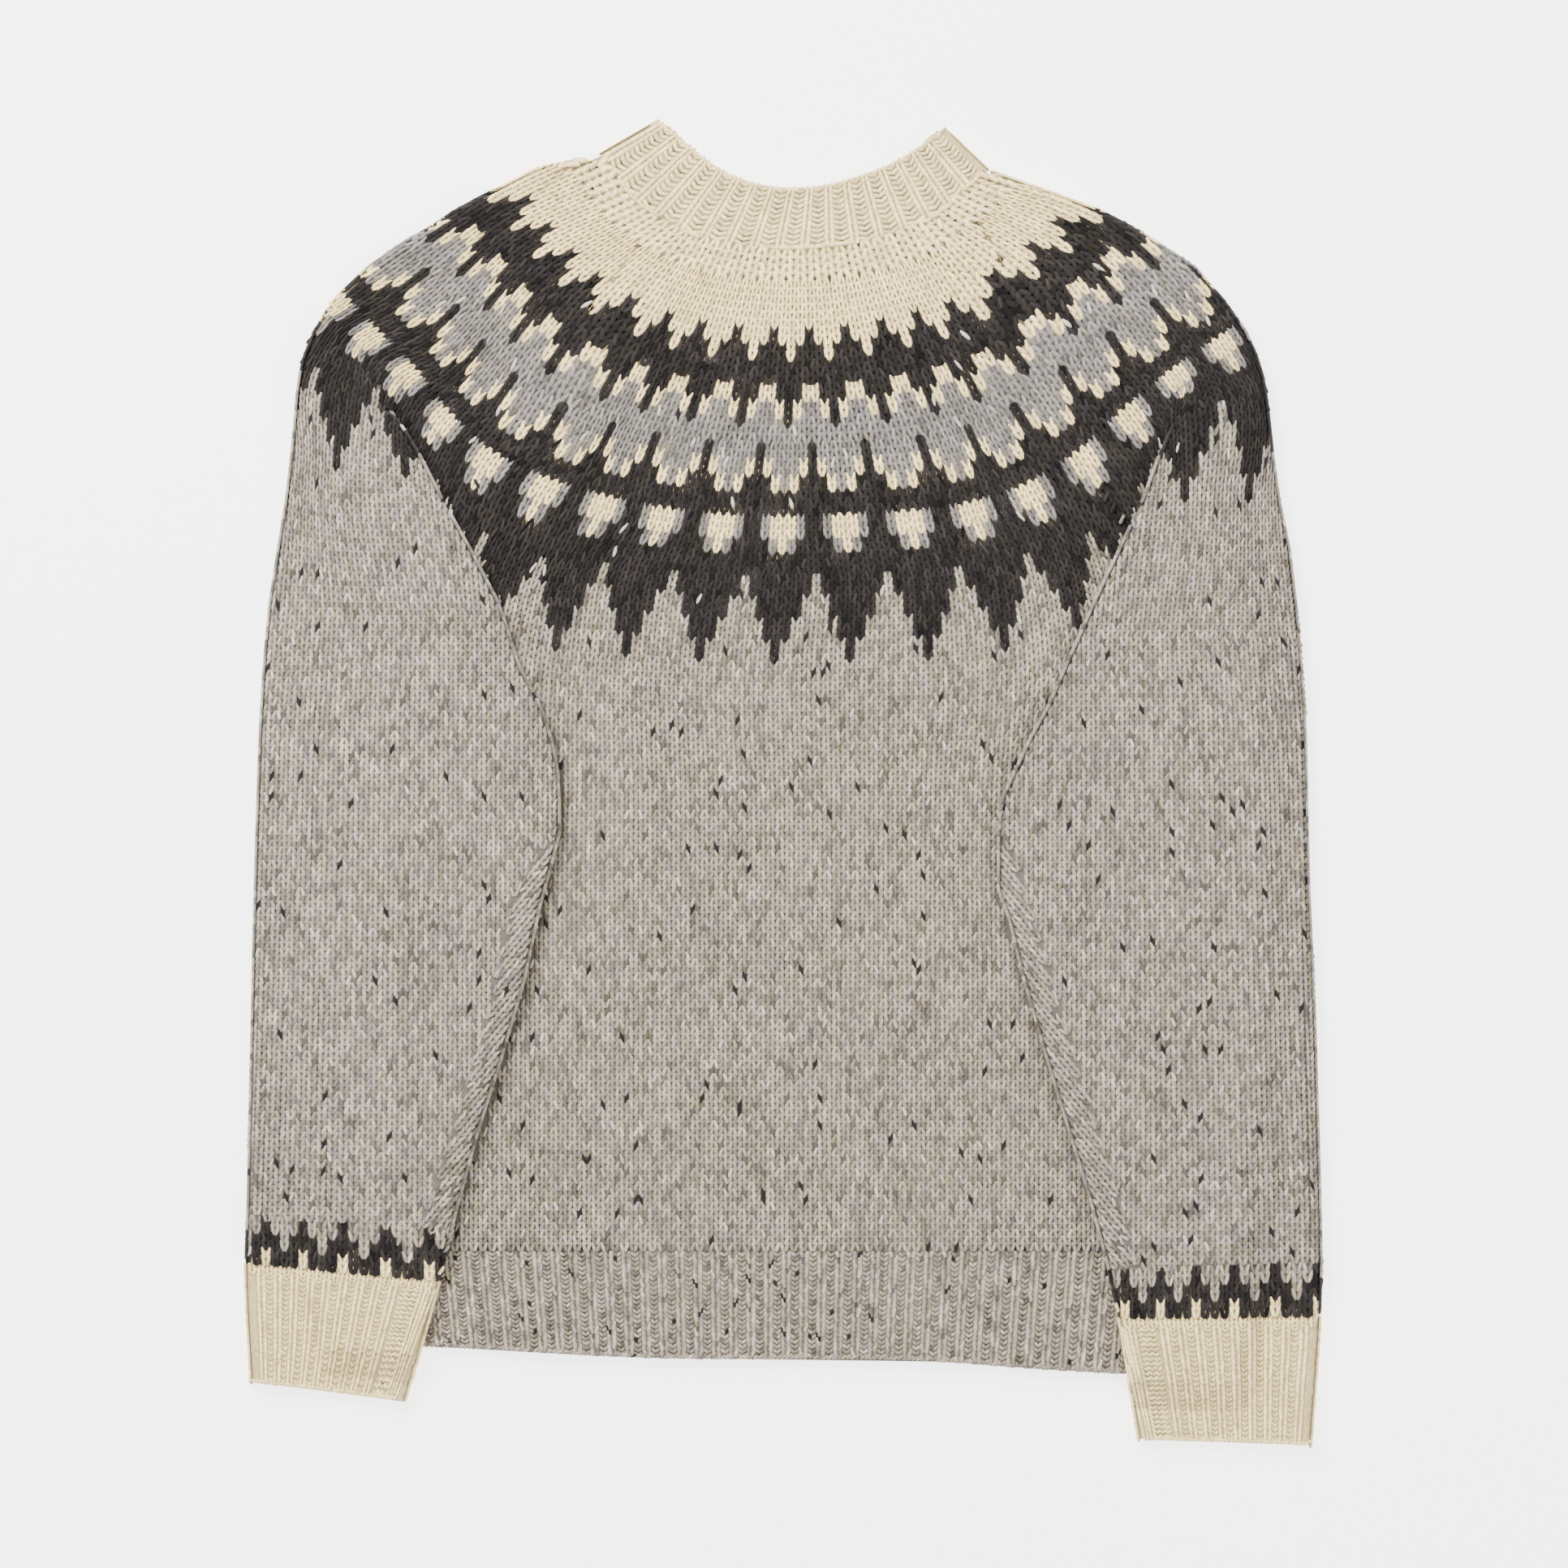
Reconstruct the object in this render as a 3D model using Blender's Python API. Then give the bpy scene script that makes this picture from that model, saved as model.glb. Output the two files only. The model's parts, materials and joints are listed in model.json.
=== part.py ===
"""A circular-yoke knitted pullover, laid on its front with both sleeves swung down over its back.

Metres, +Z up. X runs across the garment, Y towards the neck, and Z = 0 is the surface it lies on.
Lengths in the tables are millimetres. S is the distance from the centre line of the garment, so one
set of functions makes the left sleeve (X = -S) and the right sleeve (X = +S). An outline that belongs
to one side has the columns S and Y, and one that crosses the garment has the columns X and Y.
"""

import math

import bmesh
import bpy
from mathutils import Vector

MM = 0.001
ORIGIN = Vector((-0.3, 1.9, 0.0))  # the middle of the garment's box, in the tables' millimetres

WALL = 3.0  # thickness of the knitted cloth
SEAM = 0.3  # space between two pieces at a seam
JOINT_GAP = 1.0  # the same at the underarm's point
NECK_GAP = 0.5  # the same beside the neckband, where both edges bend
PLY = 3.6  # height from the middle of one layer of cloth to the next
FLOOR_PLY = WALL / 2  # middle height of the layer that lies on the surface
BACK_PLY = FLOOR_PLY + PLY
PLEAT_PLY = FLOOR_PLY + 2 * PLY
TOP_PLY = FLOOR_PLY + 3 * PLY
LOFT = 2.0  # how far a sleeve's upper layer stands off beside its folds
LOFT_REACH = 18.0
DROP = 15.0  # run over which a sleeve falls from the body to the surface
SUPPORT = 2.0  # a sleeve stays high this far past the edge that carries it
RAMP_MARGIN = 6.0  # the upper layer's step keeps this far from either fold
TURN_SHARE = 0.3  # a narrow sleeve turns over within this share of its width
PLEAT_LEAD = 30.0  # the cloth starts to lift this far above the top of the pleat
PLEAT_GROWTH = 34.0  # run over which it lifts
FOLD_LEAST = 3.0  # the pleat folds under once its layers overlap by this much
FOLD_GROWTH = 12.0
TUCK_RUN = 8.0  # half width of the soft step above the pleat
TUCK_MOST = 0.12  # the same as a share of the sleeve's width, where that is less
TUCK_PLACE = 0.6  # where that step lies, as a share of the way from the raglan seam to the outer fold
RIB_BASE = 2.0  # thickness of a ribbed wall between its ribs
RIB_RISE = 1.2
RIB_FADE = 5.0  # length over which a rib grows out of the seam
SHARP_ANGLE = 50.0  # degrees

# Each sleeve's outer fold, from the neckband down to the cuff.
OUTER_FOLD = {
    "left": (
        (97, 339), (127, 334), (152, 322), (176, 310), (194, 298), (212, 288), (229, 275),
        (241, 264), (253, 246), (259, 233), (263, 213), (265, 190), (269, 153), (278, 95),
        (283, 29), (286, -58), (288, -146), (290, -233), (291, -258), (288, -322),
    ),
    "right": (
        (107, 332), (144, 319), (171, 309), (194, 297), (216, 285), (232, 267), (244, 254),
        (254, 236), (260, 217), (267, 160), (274, 125), (279, 77), (282, 35), (284, -49),
        (287, -117), (290, -215), (291, -260), (290, -287), (285, -357),
    ),
}
# Each sleeve's inner fold, which lies over the back, from the top of the pleat down to the cuff.
INNER_FOLD = {
    "left": (
        (216, 210), (197, 180), (182, 151), (169, 128), (152, 95), (142, 64), (129, 38),
        (121, 7), (120, -23), (129, -58), (137, -96), (144, -125), (152, -149), (158, -172),
        (167, -195), (173, -220), (179, -240), (185, -267), (204, -333),
    ),
    "right": (
        (211, 206), (194, 156), (183, 132), (172, 110), (161, 85), (152, 65), (143, 44),
        (133, 26), (123, 5), (117, -7), (115, -25), (115, -58), (123, -78), (129, -107),
        (139, -140), (150, -176), (160, -209), (170, -240), (176, -269), (180, -287), (191, -352),
    ),
}
# The fold under each sleeve, from the top of the pleat to the underarm.
PLEAT_FOLD = {
    "left": ((216, 210), (256, 77)),
    "right": ((211, 206), (258, 77)),
}
# The raglan seams, where a sleeve meets the back or the front, from the neckband to the underarm.
BACK_SEAM = {
    "left": ((67, 307), (88, 278), (145, 202), (160, 171), (177, 143), (216, 99), (246, 77)),
    "right": ((95, 319), (120, 278), (138, 235), (155, 200), (166, 169), (188, 134), (222, 99), (248, 77)),
}
FRONT_SEAM = {
    "left": ((77, 291), *BACK_SEAM["left"][1:]),
    "right": ((105, 298), *BACK_SEAM["right"][1:]),
}
# The body's side edge from the underarm to the hem.
SIDE_EDGE = {
    "left": ((246, 77), (252, 45), (254, 10), (253, -102), (247, -211), (244, -252), (237, -302)),
    "right": ((248, 77), (254, 45), (256, 10), (255, -102), (250, -211), (247, -252), (239, -321)),
}

# The neckband's two edges, from the left fold to the right fold, as X and Y.
BACK_NECK_SEAM = (
    (-97, 339), (-88, 326), (-78, 314), (-67, 307), (-49, 297), (-33, 293), (-9, 289), (9, 289),
    (31, 291), (51, 295), (68, 301), (82, 307), (95, 319), (103, 328), (108, 331),
)
BACK_NECK_TOP = (
    (-66, 357), (-61, 354), (-49, 343), (-36, 333), (-21, 326), (-2, 322), (11, 322), (26, 324),
    (43, 329), (60, 336), (73, 344), (79, 350), (85, 353),
)
FRONT_NECK_SEAM = (
    (-97, 339), (-88, 315), (-77, 291), (-60, 272), (-30, 256), (5, 251), (45, 257), (80, 273),
    (105, 298), (110, 315), (108, 331),
)
FRONT_NECK_TOP = (
    (-66, 357), (-58, 335), (-45, 312), (-25, 295), (5, 287), (40, 293), (65, 311), (78, 334),
    (85, 353),
)
BACK_CORNERS = (-67, 95)  # X of the neckband seam's points where the two raglan seams start
FRONT_CORNERS = (-77, 105)

HEM_SEAM = -252.0
# The hem's lower edge, as X and Y.
HEM_EDGE = ((-237, -302), (-197, -303), (-81, -309), (94, -312), (133, -315), (184, -318), (239, -321))

# Heights of the rows of each sleeve: along the neckband, down the raglan seam, then below the arm.
NECK_ROWS = {"left": (336.5, 331, 324, 315), "right": (329, 327, 325, 322)}
CORNER_ROWS = {"left": (307, 300, 291), "right": (319, 309, 298)}
RAGLAN_ROWS = (278, 261, 244, 230, 220, 212, 205, 198, 190, 174, 152, 125, 99, 84)
UNDERARM = 77.0
UNROLL = 16.0  # run over which the fold at the underarm opens out
TUBE_ROWS = {
    "left": (77, 69, 61, 42, 24, 8, -8, -24, -42, -62, -100, -140, -180, -220, -258),
    "right": (77, 69, 61, 42, 24, 8, -8, -30, -56, -74, -100, -140, -180, -220, -258, -287),
}
# Rows of each cuff: the height of the outer end, and how far the inner end falls below it.
CUFF_ROWS = {
    "left": ((-258, 9), (-264, 8.5), (-284, 6), (-301, 3.5), (-308, 5), (-314, 8), (-322, 11)),
    "right": ((-287, 0), (-293, 0), (-306, -1), (-322, -2), (-330, -2), (-338, -2), (-356, -3)),
}
PANEL_ROWS = (77, 50, 10, -40, -95, -150, -205, HEM_SEAM)
PANEL_COLUMNS = 14
FRONT_BAND_COLUMNS = 40

NECK_RIBS = 17
NECK_STEPS_PER_RIB = 5
NECK_LOW_STEPS = 3  # the neckband's troughs are wide, and its first rib stands on its left fold
HEM_RIBS = 51
CUFF_RIBS = 9
CUFF_EDGE_RIB = 2.5  # how far the rib on a cuff's inner fold reaches past the turn
CUFF_PLAIN = 14.5  # from there on the cuff is plain up to this distance from the turn
STEPS_PER_RIB = 3
TURN_STEPS = 3  # places round a fold
SPAN_STEPS = 2  # places along a flat stretch between two folds
UNDER_STEPS = 5  # places along a sleeve's lowest layer
CURVE_STEPS = 240  # places on an outline where one of its heights is looked up

YARNS = {
    # name: red, green, blue, roughness
    "grey_marl": (0.40, 0.38, 0.35, 0.95),
    "cream_tweed": (0.76, 0.68, 0.55, 0.95),
}


def smooth(value):
    """0 below 0, 1 above 1, and an S curve between."""
    value = min(1.0, max(0.0, value))
    return value * value * (3 - 2 * value)


def mix(a, b, share):
    return a + (b - a) * share


def at_height(points, y):
    """S where an outline, listed from high to low, has the height y. It bends without overshoot."""
    if y >= points[0][1]:
        return float(points[0][0])
    if y <= points[-1][1]:
        return float(points[-1][0])
    slopes = [(b[0] - a[0]) / (b[1] - a[1]) for a, b in zip(points, points[1:])]
    k = next(i for i in range(len(slopes)) if y >= points[i + 1][1])

    def tangent(i):
        if i == 0:
            return slopes[0]
        if i == len(points) - 1:
            return slopes[-1]
        before, after = slopes[i - 1], slopes[i]
        return 0.0 if before * after <= 0 else 2 * before * after / (before + after)

    (s0, y0), (s1, y1) = points[k], points[k + 1]
    run = y1 - y0
    t = (y - y0) / run
    return (
        s0 * (2 * t**3 - 3 * t**2 + 1)
        + s1 * (3 * t**2 - 2 * t**3)
        + run * tangent(k) * (t**3 - 2 * t**2 + t)
        + run * tangent(k + 1) * (t**3 - t**2)
    )


def along(points, count):
    """count + 1 places at even spacing on a smooth curve through an outline's points."""
    ends = [points[0], *points, points[-1]]
    fine = []
    per_span = 12
    for i in range(len(points) - 1):
        p0, p1, p2, p3 = (Vector(p) for p in ends[i : i + 4])
        for j in range(per_span):
            t = j / per_span
            fine.append(
                0.5 * (2 * p1 + (p2 - p0) * t + (2 * p0 - 5 * p1 + 4 * p2 - p3) * t**2
                       + (3 * p1 - p0 - 3 * p2 + p3) * t**3)
            )
    fine.append(Vector(points[-1]))
    reach = [0.0]
    for a, b in zip(fine, fine[1:]):
        reach.append(reach[-1] + (b - a).length)
    places = []
    k = 0
    for i in range(count + 1):
        goal = reach[-1] * i / count
        while k < len(fine) - 2 and reach[k + 1] < goal:
            k += 1
        share = (goal - reach[k]) / (reach[k + 1] - reach[k])
        places.append(fine[k].lerp(fine[k + 1], min(1.0, share)))
    return places


def curve_y(points, x):
    """Height of a smooth outline at one X."""
    fine = along(points, CURVE_STEPS)
    for a, b in zip(fine, fine[1:]):
        if a.x <= x <= b.x:
            return mix(a.y, b.y, (x - a.x) / (b.x - a.x))
    return min(fine, key=lambda p: abs(p.x - x)).y


def spread(start, end, count):
    """count places from start to end, leaving the end out."""
    return [mix(start, end, i / count) for i in range(count)]


def arc(centre, radius, low, high, count, outward):
    """Places of a fold, from the layer at height low to the one at height high."""
    middle = (low + high) / 2
    half = (high - low) / 2
    places = []
    for i in range(count):
        angle = math.pi * (i / count - 0.5)
        places.append((centre + outward * radius * math.cos(angle), middle + half * math.sin(angle)))
    return places


def carried(s, edge):
    """How much of the body's height a sleeve keeps at S, when edge is where the support ends."""
    return 1 - smooth((s - edge - SUPPORT) / DROP)


def loft(s, inner, outer, share=1.0):
    inside = math.exp(-((s - inner) / LOFT_REACH) ** 2)
    outside = math.exp(-((outer - s) / LOFT_REACH) ** 2)
    return LOFT * (share * inside + outside)


def upper_layer(start, end, edge, inner, low, high, share):
    """The sleeve's visible layer, from its inner fold out to its outer fold."""
    ramp_start = min(max(edge + SUPPORT, start + RAMP_MARGIN), end - RAMP_MARGIN)
    ramp_end = min(ramp_start + DROP, end - RAMP_MARGIN / 2)
    stations = spread(start, ramp_start, SPAN_STEPS + 1)
    stations += spread(ramp_start, ramp_end, SPAN_STEPS) + spread(ramp_end, end, SPAN_STEPS)
    return [(s, mix(low, high, carried(s, edge)) + loft(s, inner, end, share)) for s in stations]


def seam_edge(side, y, raglan, neck):
    """S of a sleeve's edge at height y: beside the neckband at first, then beside the raglan seam."""
    if y <= raglan[0][1]:
        step = 2.0
        slope = (at_height(raglan, y + step) - at_height(raglan, y - step)) / (2 * step)
        return at_height(raglan, y) + SEAM * math.hypot(1.0, slope)
    sign = -1 if side == "left" else 1
    flat = 0.1  # least rise between two places that a slope is read from
    fine = [p for p in along(neck, CURVE_STEPS) if p.x * sign > 0]
    fine.sort(key=lambda p: p.y)
    low, high = next(((a, b) for a, b in zip(fine, fine[1:]) if a.y <= y <= b.y), (fine[-1], fine[-1]))
    rise = high.y - low.y
    across = abs(mix(low.x, high.x, (y - low.y) / rise if rise else 0.0))
    return across + NECK_GAP * math.hypot(1.0, (high.x - low.x) / max(rise, flat))


def raglan_row(side, y):
    """One section above the underarm, from the back seam over the pleat and round to the front seam."""
    (apex_s, apex_y), (arm_s, arm_y) = PLEAT_FOLD[side]
    back = seam_edge(side, y, BACK_SEAM[side], BACK_NECK_SEAM)
    front = seam_edge(side, y, FRONT_SEAM[side], FRONT_NECK_SEAM)
    outer = at_height(OUTER_FOLD[side], y)
    inner = at_height(INNER_FOLD[side], y)
    below = max(0.0, apex_y - y)
    hidden = mix(apex_s, arm_s, below / (apex_y - arm_y))
    rise = smooth((apex_y + PLEAT_LEAD - y) / PLEAT_GROWTH)
    folded = smooth((hidden - inner - FOLD_LEAST) / FOLD_GROWTH) if below else 0.0
    low, middle, high = (BACK_PLY + rise * k * PLY for k in range(3))

    half = PLY / 2
    inner_half = (PLY + LOFT) / 2
    hidden_centre = hidden - half - WALL / 2
    inner_centre = inner + inner_half + WALL / 2
    lofted = high + LOFT * rise * folded
    pleat = arc(hidden_centre, half, low, middle, TURN_STEPS, 1)
    pleat += [(s, middle) for s in spread(hidden_centre, inner_centre, SPAN_STEPS)]
    pleat += arc(inner_centre, inner_half, middle, lofted, TURN_STEPS, -1)

    # Above the pleat the same places lie side by side along a soft step.
    tuck = (hidden + inner) / 2 if below else min(apex_s, mix(back, outer, TUCK_PLACE))
    run = min(TUCK_RUN, TUCK_MOST * (outer - back))
    step = spread(tuck - run, tuck + run, len(pleat))
    pleat = [(mix(s, fold[0], folded), fold[1]) for s, fold in zip(step, pleat)]

    start = mix(tuck + run, inner_centre, folded)
    reach = min(inner_half + WALL / 2, TURN_SHARE * (outer - back))
    end = outer - reach
    edge = mix(tuck + run, hidden, folded)
    flap = [(s, BACK_PLY) for s in spread(back, pleat[0][0], SPAN_STEPS)]
    upper = upper_layer(start, end, edge, inner, BACK_PLY, high, rise * folded)
    turn = arc(end, reach - WALL / 2, BACK_PLY + LOFT, FLOOR_PLY, TURN_STEPS, 1)
    under = [(s, FLOOR_PLY) for s in spread(end, front, UNDER_STEPS)] + [(front, FLOOR_PLY)]
    return flap + pleat + upper + turn + under


def tube_row(side, y, tilt):
    """One section of the closed sleeve, in the same order. Its last place is its first one."""
    body = at_height(SIDE_EDGE[side], y) + SEAM
    outer = at_height(OUTER_FOLD[side], y)
    inner = at_height(INNER_FOLD[side], y - tilt)
    open_fold = smooth((y - UNDERARM + UNROLL) / UNROLL)
    half = PLY / 2
    turn_half = (PLY + LOFT) / 2
    hidden = max(PLEAT_FOLD[side][1][0], body)
    hidden_centre = hidden - half - WALL / 2
    inner_centre = inner + turn_half + WALL / 2
    end = outer - turn_half - WALL / 2

    # At the underarm the layers fold back as above it. Lower down they fall in one step to the surface.
    joint = (body + WALL / 2 + JOINT_GAP, FLOOR_PLY + half)
    folded = [joint, (joint[0] + half, BACK_PLY)]
    folded += arc(hidden_centre, half, BACK_PLY, PLEAT_PLY, TURN_STEPS, 1)
    foot = body + DROP + SUPPORT
    shares = [mix(TURN_SHARE, 1.0, i / len(folded)) for i in range(len(folded))]
    fall = [(mix(foot, body + SUPPORT, k), mix(FLOOR_PLY, PLEAT_PLY, smooth(k))) for k in shares]
    pleat = [(mix(b[0], a[0], open_fold), mix(b[1], a[1], open_fold)) for a, b in zip(folded, fall)]

    middle_start = mix(body + SUPPORT, hidden_centre, open_fold)
    middle = [(s, PLEAT_PLY) for s in spread(middle_start, inner_centre, SPAN_STEPS)]
    inner_turn = arc(inner_centre, turn_half, PLEAT_PLY, TOP_PLY + LOFT, TURN_STEPS, -1)
    edge = mix(body, hidden, open_fold)
    upper = upper_layer(inner_centre, end, edge, inner, BACK_PLY, TOP_PLY, 1.0)
    turn = arc(end, turn_half, BACK_PLY + LOFT, FLOOR_PLY, TURN_STEPS, 1)
    last = mix(foot, joint[0] + half, open_fold)
    under = [(s, FLOOR_PLY) for s in spread(end, last, UNDER_STEPS - 1)] + [(last, FLOOR_PLY), pleat[0]]
    return pleat + middle + inner_turn + upper + turn + under


def place(side, row, y, tilt):
    """Turns a section into points. A tilted section falls towards its inner fold."""
    sign = -1 if side == "left" else 1
    reach = [s for s, _ in row]
    low, high = min(reach), max(reach)
    return [
        Vector((sign * s, y - tilt * (high - s) / (high - low), z)) for s, z in row
    ]


def normals(grid, closed):
    """A unit vector off the cloth's right side at each point of a grid."""
    last_row = len(grid) - 1
    last = len(grid[0]) - 1
    result = []
    for j, row in enumerate(grid):
        line = []
        for i in range(last + 1):
            before, after = row[max(i - 1, 0)], row[min(i + 1, last)]
            if closed[j] and i in (0, last):
                before, after = row[last - 1], row[1]
            across = after - before
            down = grid[min(j + 1, last_row)][i] - grid[max(j - 1, 0)][i]
            line.append(across.cross(down).normalized())
        result.append(line)
    return result


def wall(name, grid, closed, yarn, collection, turn=1, outside=None):
    """A cloth wall round a grid of its middle points, with its edges closed.

    closed says for each row whether its two ends are one point. outside gives the distance from the
    middle to the right side, where ribs stand proud.
    """
    away = normals(grid, closed)
    last = len(grid[0]) - 1
    mesh = bmesh.new()
    outer, inner = [], []
    for j, row in enumerate(grid):
        outer_row, inner_row = [], []
        for i, point in enumerate(row):
            if closed[j] and i == last:
                outer_row.append(outer_row[0])
                inner_row.append(inner_row[0])
                continue
            proud = outside[j][i] if outside else WALL / 2
            normal = turn * away[j][i]
            outer_row.append(mesh.verts.new((point - ORIGIN + normal * proud) * MM))
            inner_row.append(mesh.verts.new((point - ORIGIN - normal * WALL / 2) * MM))
        outer.append(outer_row)
        inner.append(inner_row)
    for j in range(len(grid) - 1):
        for i in range(last):
            for layer in (outer, inner):
                mesh.faces.new((layer[j][i], layer[j][i + 1], layer[j + 1][i + 1], layer[j + 1][i]))
        if not (closed[j] and closed[j + 1]):
            for i in (0, last):
                mesh.faces.new((outer[j][i], outer[j + 1][i], inner[j + 1][i], inner[j][i]))
    for j in (0, len(grid) - 1):
        for i in range(last):
            mesh.faces.new((outer[j][i], outer[j][i + 1], inner[j][i + 1], inner[j][i]))
    bmesh.ops.recalc_face_normals(mesh, faces=mesh.faces)
    if mesh.calc_volume(signed=True) < 0:
        bmesh.ops.reverse_faces(mesh, faces=mesh.faces)
    return finish(name, mesh, yarn, collection)


def finish(name, mesh, yarn, collection):
    data = bpy.data.meshes.new(name)
    mesh.to_mesh(data)
    mesh.free()
    data.shade_smooth()
    data.set_sharp_from_angle(angle=math.radians(SHARP_ANGLE))
    obj = bpy.data.objects.new(name, data)
    collection.objects.link(obj)
    red, green, blue, roughness = YARNS[yarn]
    material = bpy.data.materials.new(name + "_knit")
    material.use_nodes = True
    shader = material.node_tree.nodes["Principled BSDF"]
    shader.inputs["Base Color"].default_value = (red, green, blue, 1)
    shader.inputs["Roughness"].default_value = roughness
    shader.inputs["Metallic"].default_value = 0.0
    data.materials.append(material)
    return obj


def sleeve(side, collection):
    """Cap, arm and pleat in one piece of cloth, open along the raglan seams and closed below them."""
    grid, closed = [], []
    for y in NECK_ROWS[side] + CORNER_ROWS[side] + RAGLAN_ROWS:
        grid.append(place(side, raglan_row(side, y), y, 0.0))
        closed.append(False)
    rows = TUBE_ROWS[side]
    for y in rows:
        tilt = CUFF_ROWS[side][0][1] * smooth((rows[0] - y) / (rows[0] - rows[-1]))
        grid.append(place(side, tube_row(side, y, tilt), y, tilt))
        closed.append(True)
    return wall(side + "_sleeve", grid, closed, "grey_marl", collection, 1 if side == "left" else -1)


def rib_height(step, faded, steps=STEPS_PER_RIB, low_steps=1):
    """A rib is low on the first of its steps and high on the rest."""
    return RIB_BASE - WALL / 2 + (0.0 if step % steps < low_steps else RIB_RISE * faded)


def cuff(side, collection):
    """A ribbed tube below the sleeve. Part of it lies over the hem, and the rest on the surface."""
    rows = CUFF_ROWS[side]
    sign = -1 if side == "left" else 1
    grid, outside = [], []
    for j, (y, tilt) in enumerate(rows):
        inner = at_height(INNER_FOLD[side], y - tilt)
        outer = at_height(OUTER_FOLD[side], y)
        body = at_height(SIDE_EDGE[side], y) + SEAM
        half = (PLY + LOFT) / 2
        start, end = inner + half + WALL / 2, outer - half - WALL / 2

        def under(s):
            past_side = max(0.0, s - body - SUPPORT)
            here = y - tilt * (outer - s) / (outer - inner)
            past_hem = max(0.0, curve_y(HEM_EDGE, sign * s) - here - SUPPORT)
            return FLOOR_PLY + 2 * PLY * (1 - smooth(math.hypot(past_side, past_hem) / DROP))

        edge_rib = [start, start + CUFF_EDGE_RIB, start + CUFF_EDGE_RIB + RIB_RISE]
        ribbed = edge_rib + spread(start + CUFF_PLAIN, end, CUFF_RIBS * STEPS_PER_RIB)
        top = [(s, under(s) + PLY + loft(s, inner, outer)) for s in ribbed]
        turn = arc(end, half, under(end) + PLY + LOFT, under(end), TURN_STEPS + 1, 1)
        foot = min(body + SUPPORT + DROP, end - SUPPORT)
        lying = [end] + spread(foot, body, SPAN_STEPS + 1) + spread(body, start, SPAN_STEPS + 1)
        bottom = [(s, under(s)) for s in lying]
        back_turn = arc(start, half, under(start), under(start) + PLY + LOFT, TURN_STEPS + 1, -1)
        row = top + turn + bottom + back_turn
        row.append(row[0])
        shift = NECK_GAP if j == 0 else 0.0
        grid.append([p - Vector((0, shift, 0)) for p in place(side, row, y, tilt)])
        faded = smooth((rows[0][0] - y) / RIB_FADE)
        edge_heights = [rib_height(step, faded) for step in (1, 2, 0)]
        ribs = edge_heights + [rib_height(i, faded) for i in range(CUFF_RIBS * STEPS_PER_RIB)]
        outside.append(ribs + [WALL / 2] * (len(row) - len(top) - 1) + ribs[:1])
    turned = 1 if side == "left" else -1
    return wall(side + "_cuff", grid, [True] * len(rows), "cream_tweed", collection, turned, outside)


def panel(name, ply, neck, corners, corner_rows, collection):
    """Back or front: straight rows up to the underarm, then rows that bend to the neck's curve."""
    left_rows = [left for left, _ in corner_rows] + list(RAGLAN_ROWS)
    right_rows = [right for _, right in corner_rows] + list(RAGLAN_ROWS)
    seams = FRONT_SEAM if ply == FLOOR_PLY else BACK_SEAM
    columns = [i / PANEL_COLUMNS for i in range(PANEL_COLUMNS + 1)]
    left_x, right_x = corners
    sag = [curve_y(neck, mix(left_x, right_x, u)) - mix(left_rows[0], right_rows[0], u) for u in columns]
    grid = []
    for left_y, right_y in zip(left_rows, right_rows):
        left = -at_height(seams["left"], left_y)
        right = at_height(seams["right"], right_y)
        weight = (left_y - UNDERARM) / (left_rows[0] - UNDERARM)
        shift = NECK_GAP if not grid else 0.0
        grid.append([Vector((mix(left, right, u), mix(left_y, right_y, u) + weight * d - shift, ply))
                     for u, d in zip(columns, sag)])
    for y in PANEL_ROWS:
        left = -at_height(SIDE_EDGE["left"], y)
        right = at_height(SIDE_EDGE["right"], y)
        grid.append([Vector((mix(left, right, u), y, ply)) for u in columns])
    return wall(name, grid, [False] * len(grid), "grey_marl", collection)


def hem(name, ply, ribs, collection):
    """A straight rib below a panel. Only the back's ribs are raised, as the front lies on the surface."""
    count = ribs * STEPS_PER_RIB if ribs else PANEL_COLUMNS
    bottom = along(HEM_EDGE, count)
    left, right = (sign * at_height(SIDE_EDGE[s], HEM_SEAM) for s, sign in (("left", -1), ("right", 1)))
    top = [Vector((mix(left, right, i / count), HEM_SEAM - SEAM)) for i in range(count + 1)]
    faded_by = 0.1
    grid, outside = [], []
    for share in (0.0, faded_by, 1.0):
        line = [a.lerp(b, share) for a, b in zip(top, bottom)]
        grid.append([Vector((p.x, p.y, ply)) for p in line])
        faded = smooth(share / faded_by)
        outside.append([rib_height(i, faded) if ribs else WALL / 2 for i in range(count + 1)])
    return wall(name, grid, [False] * len(grid), "grey_marl", collection, 1, outside)


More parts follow.
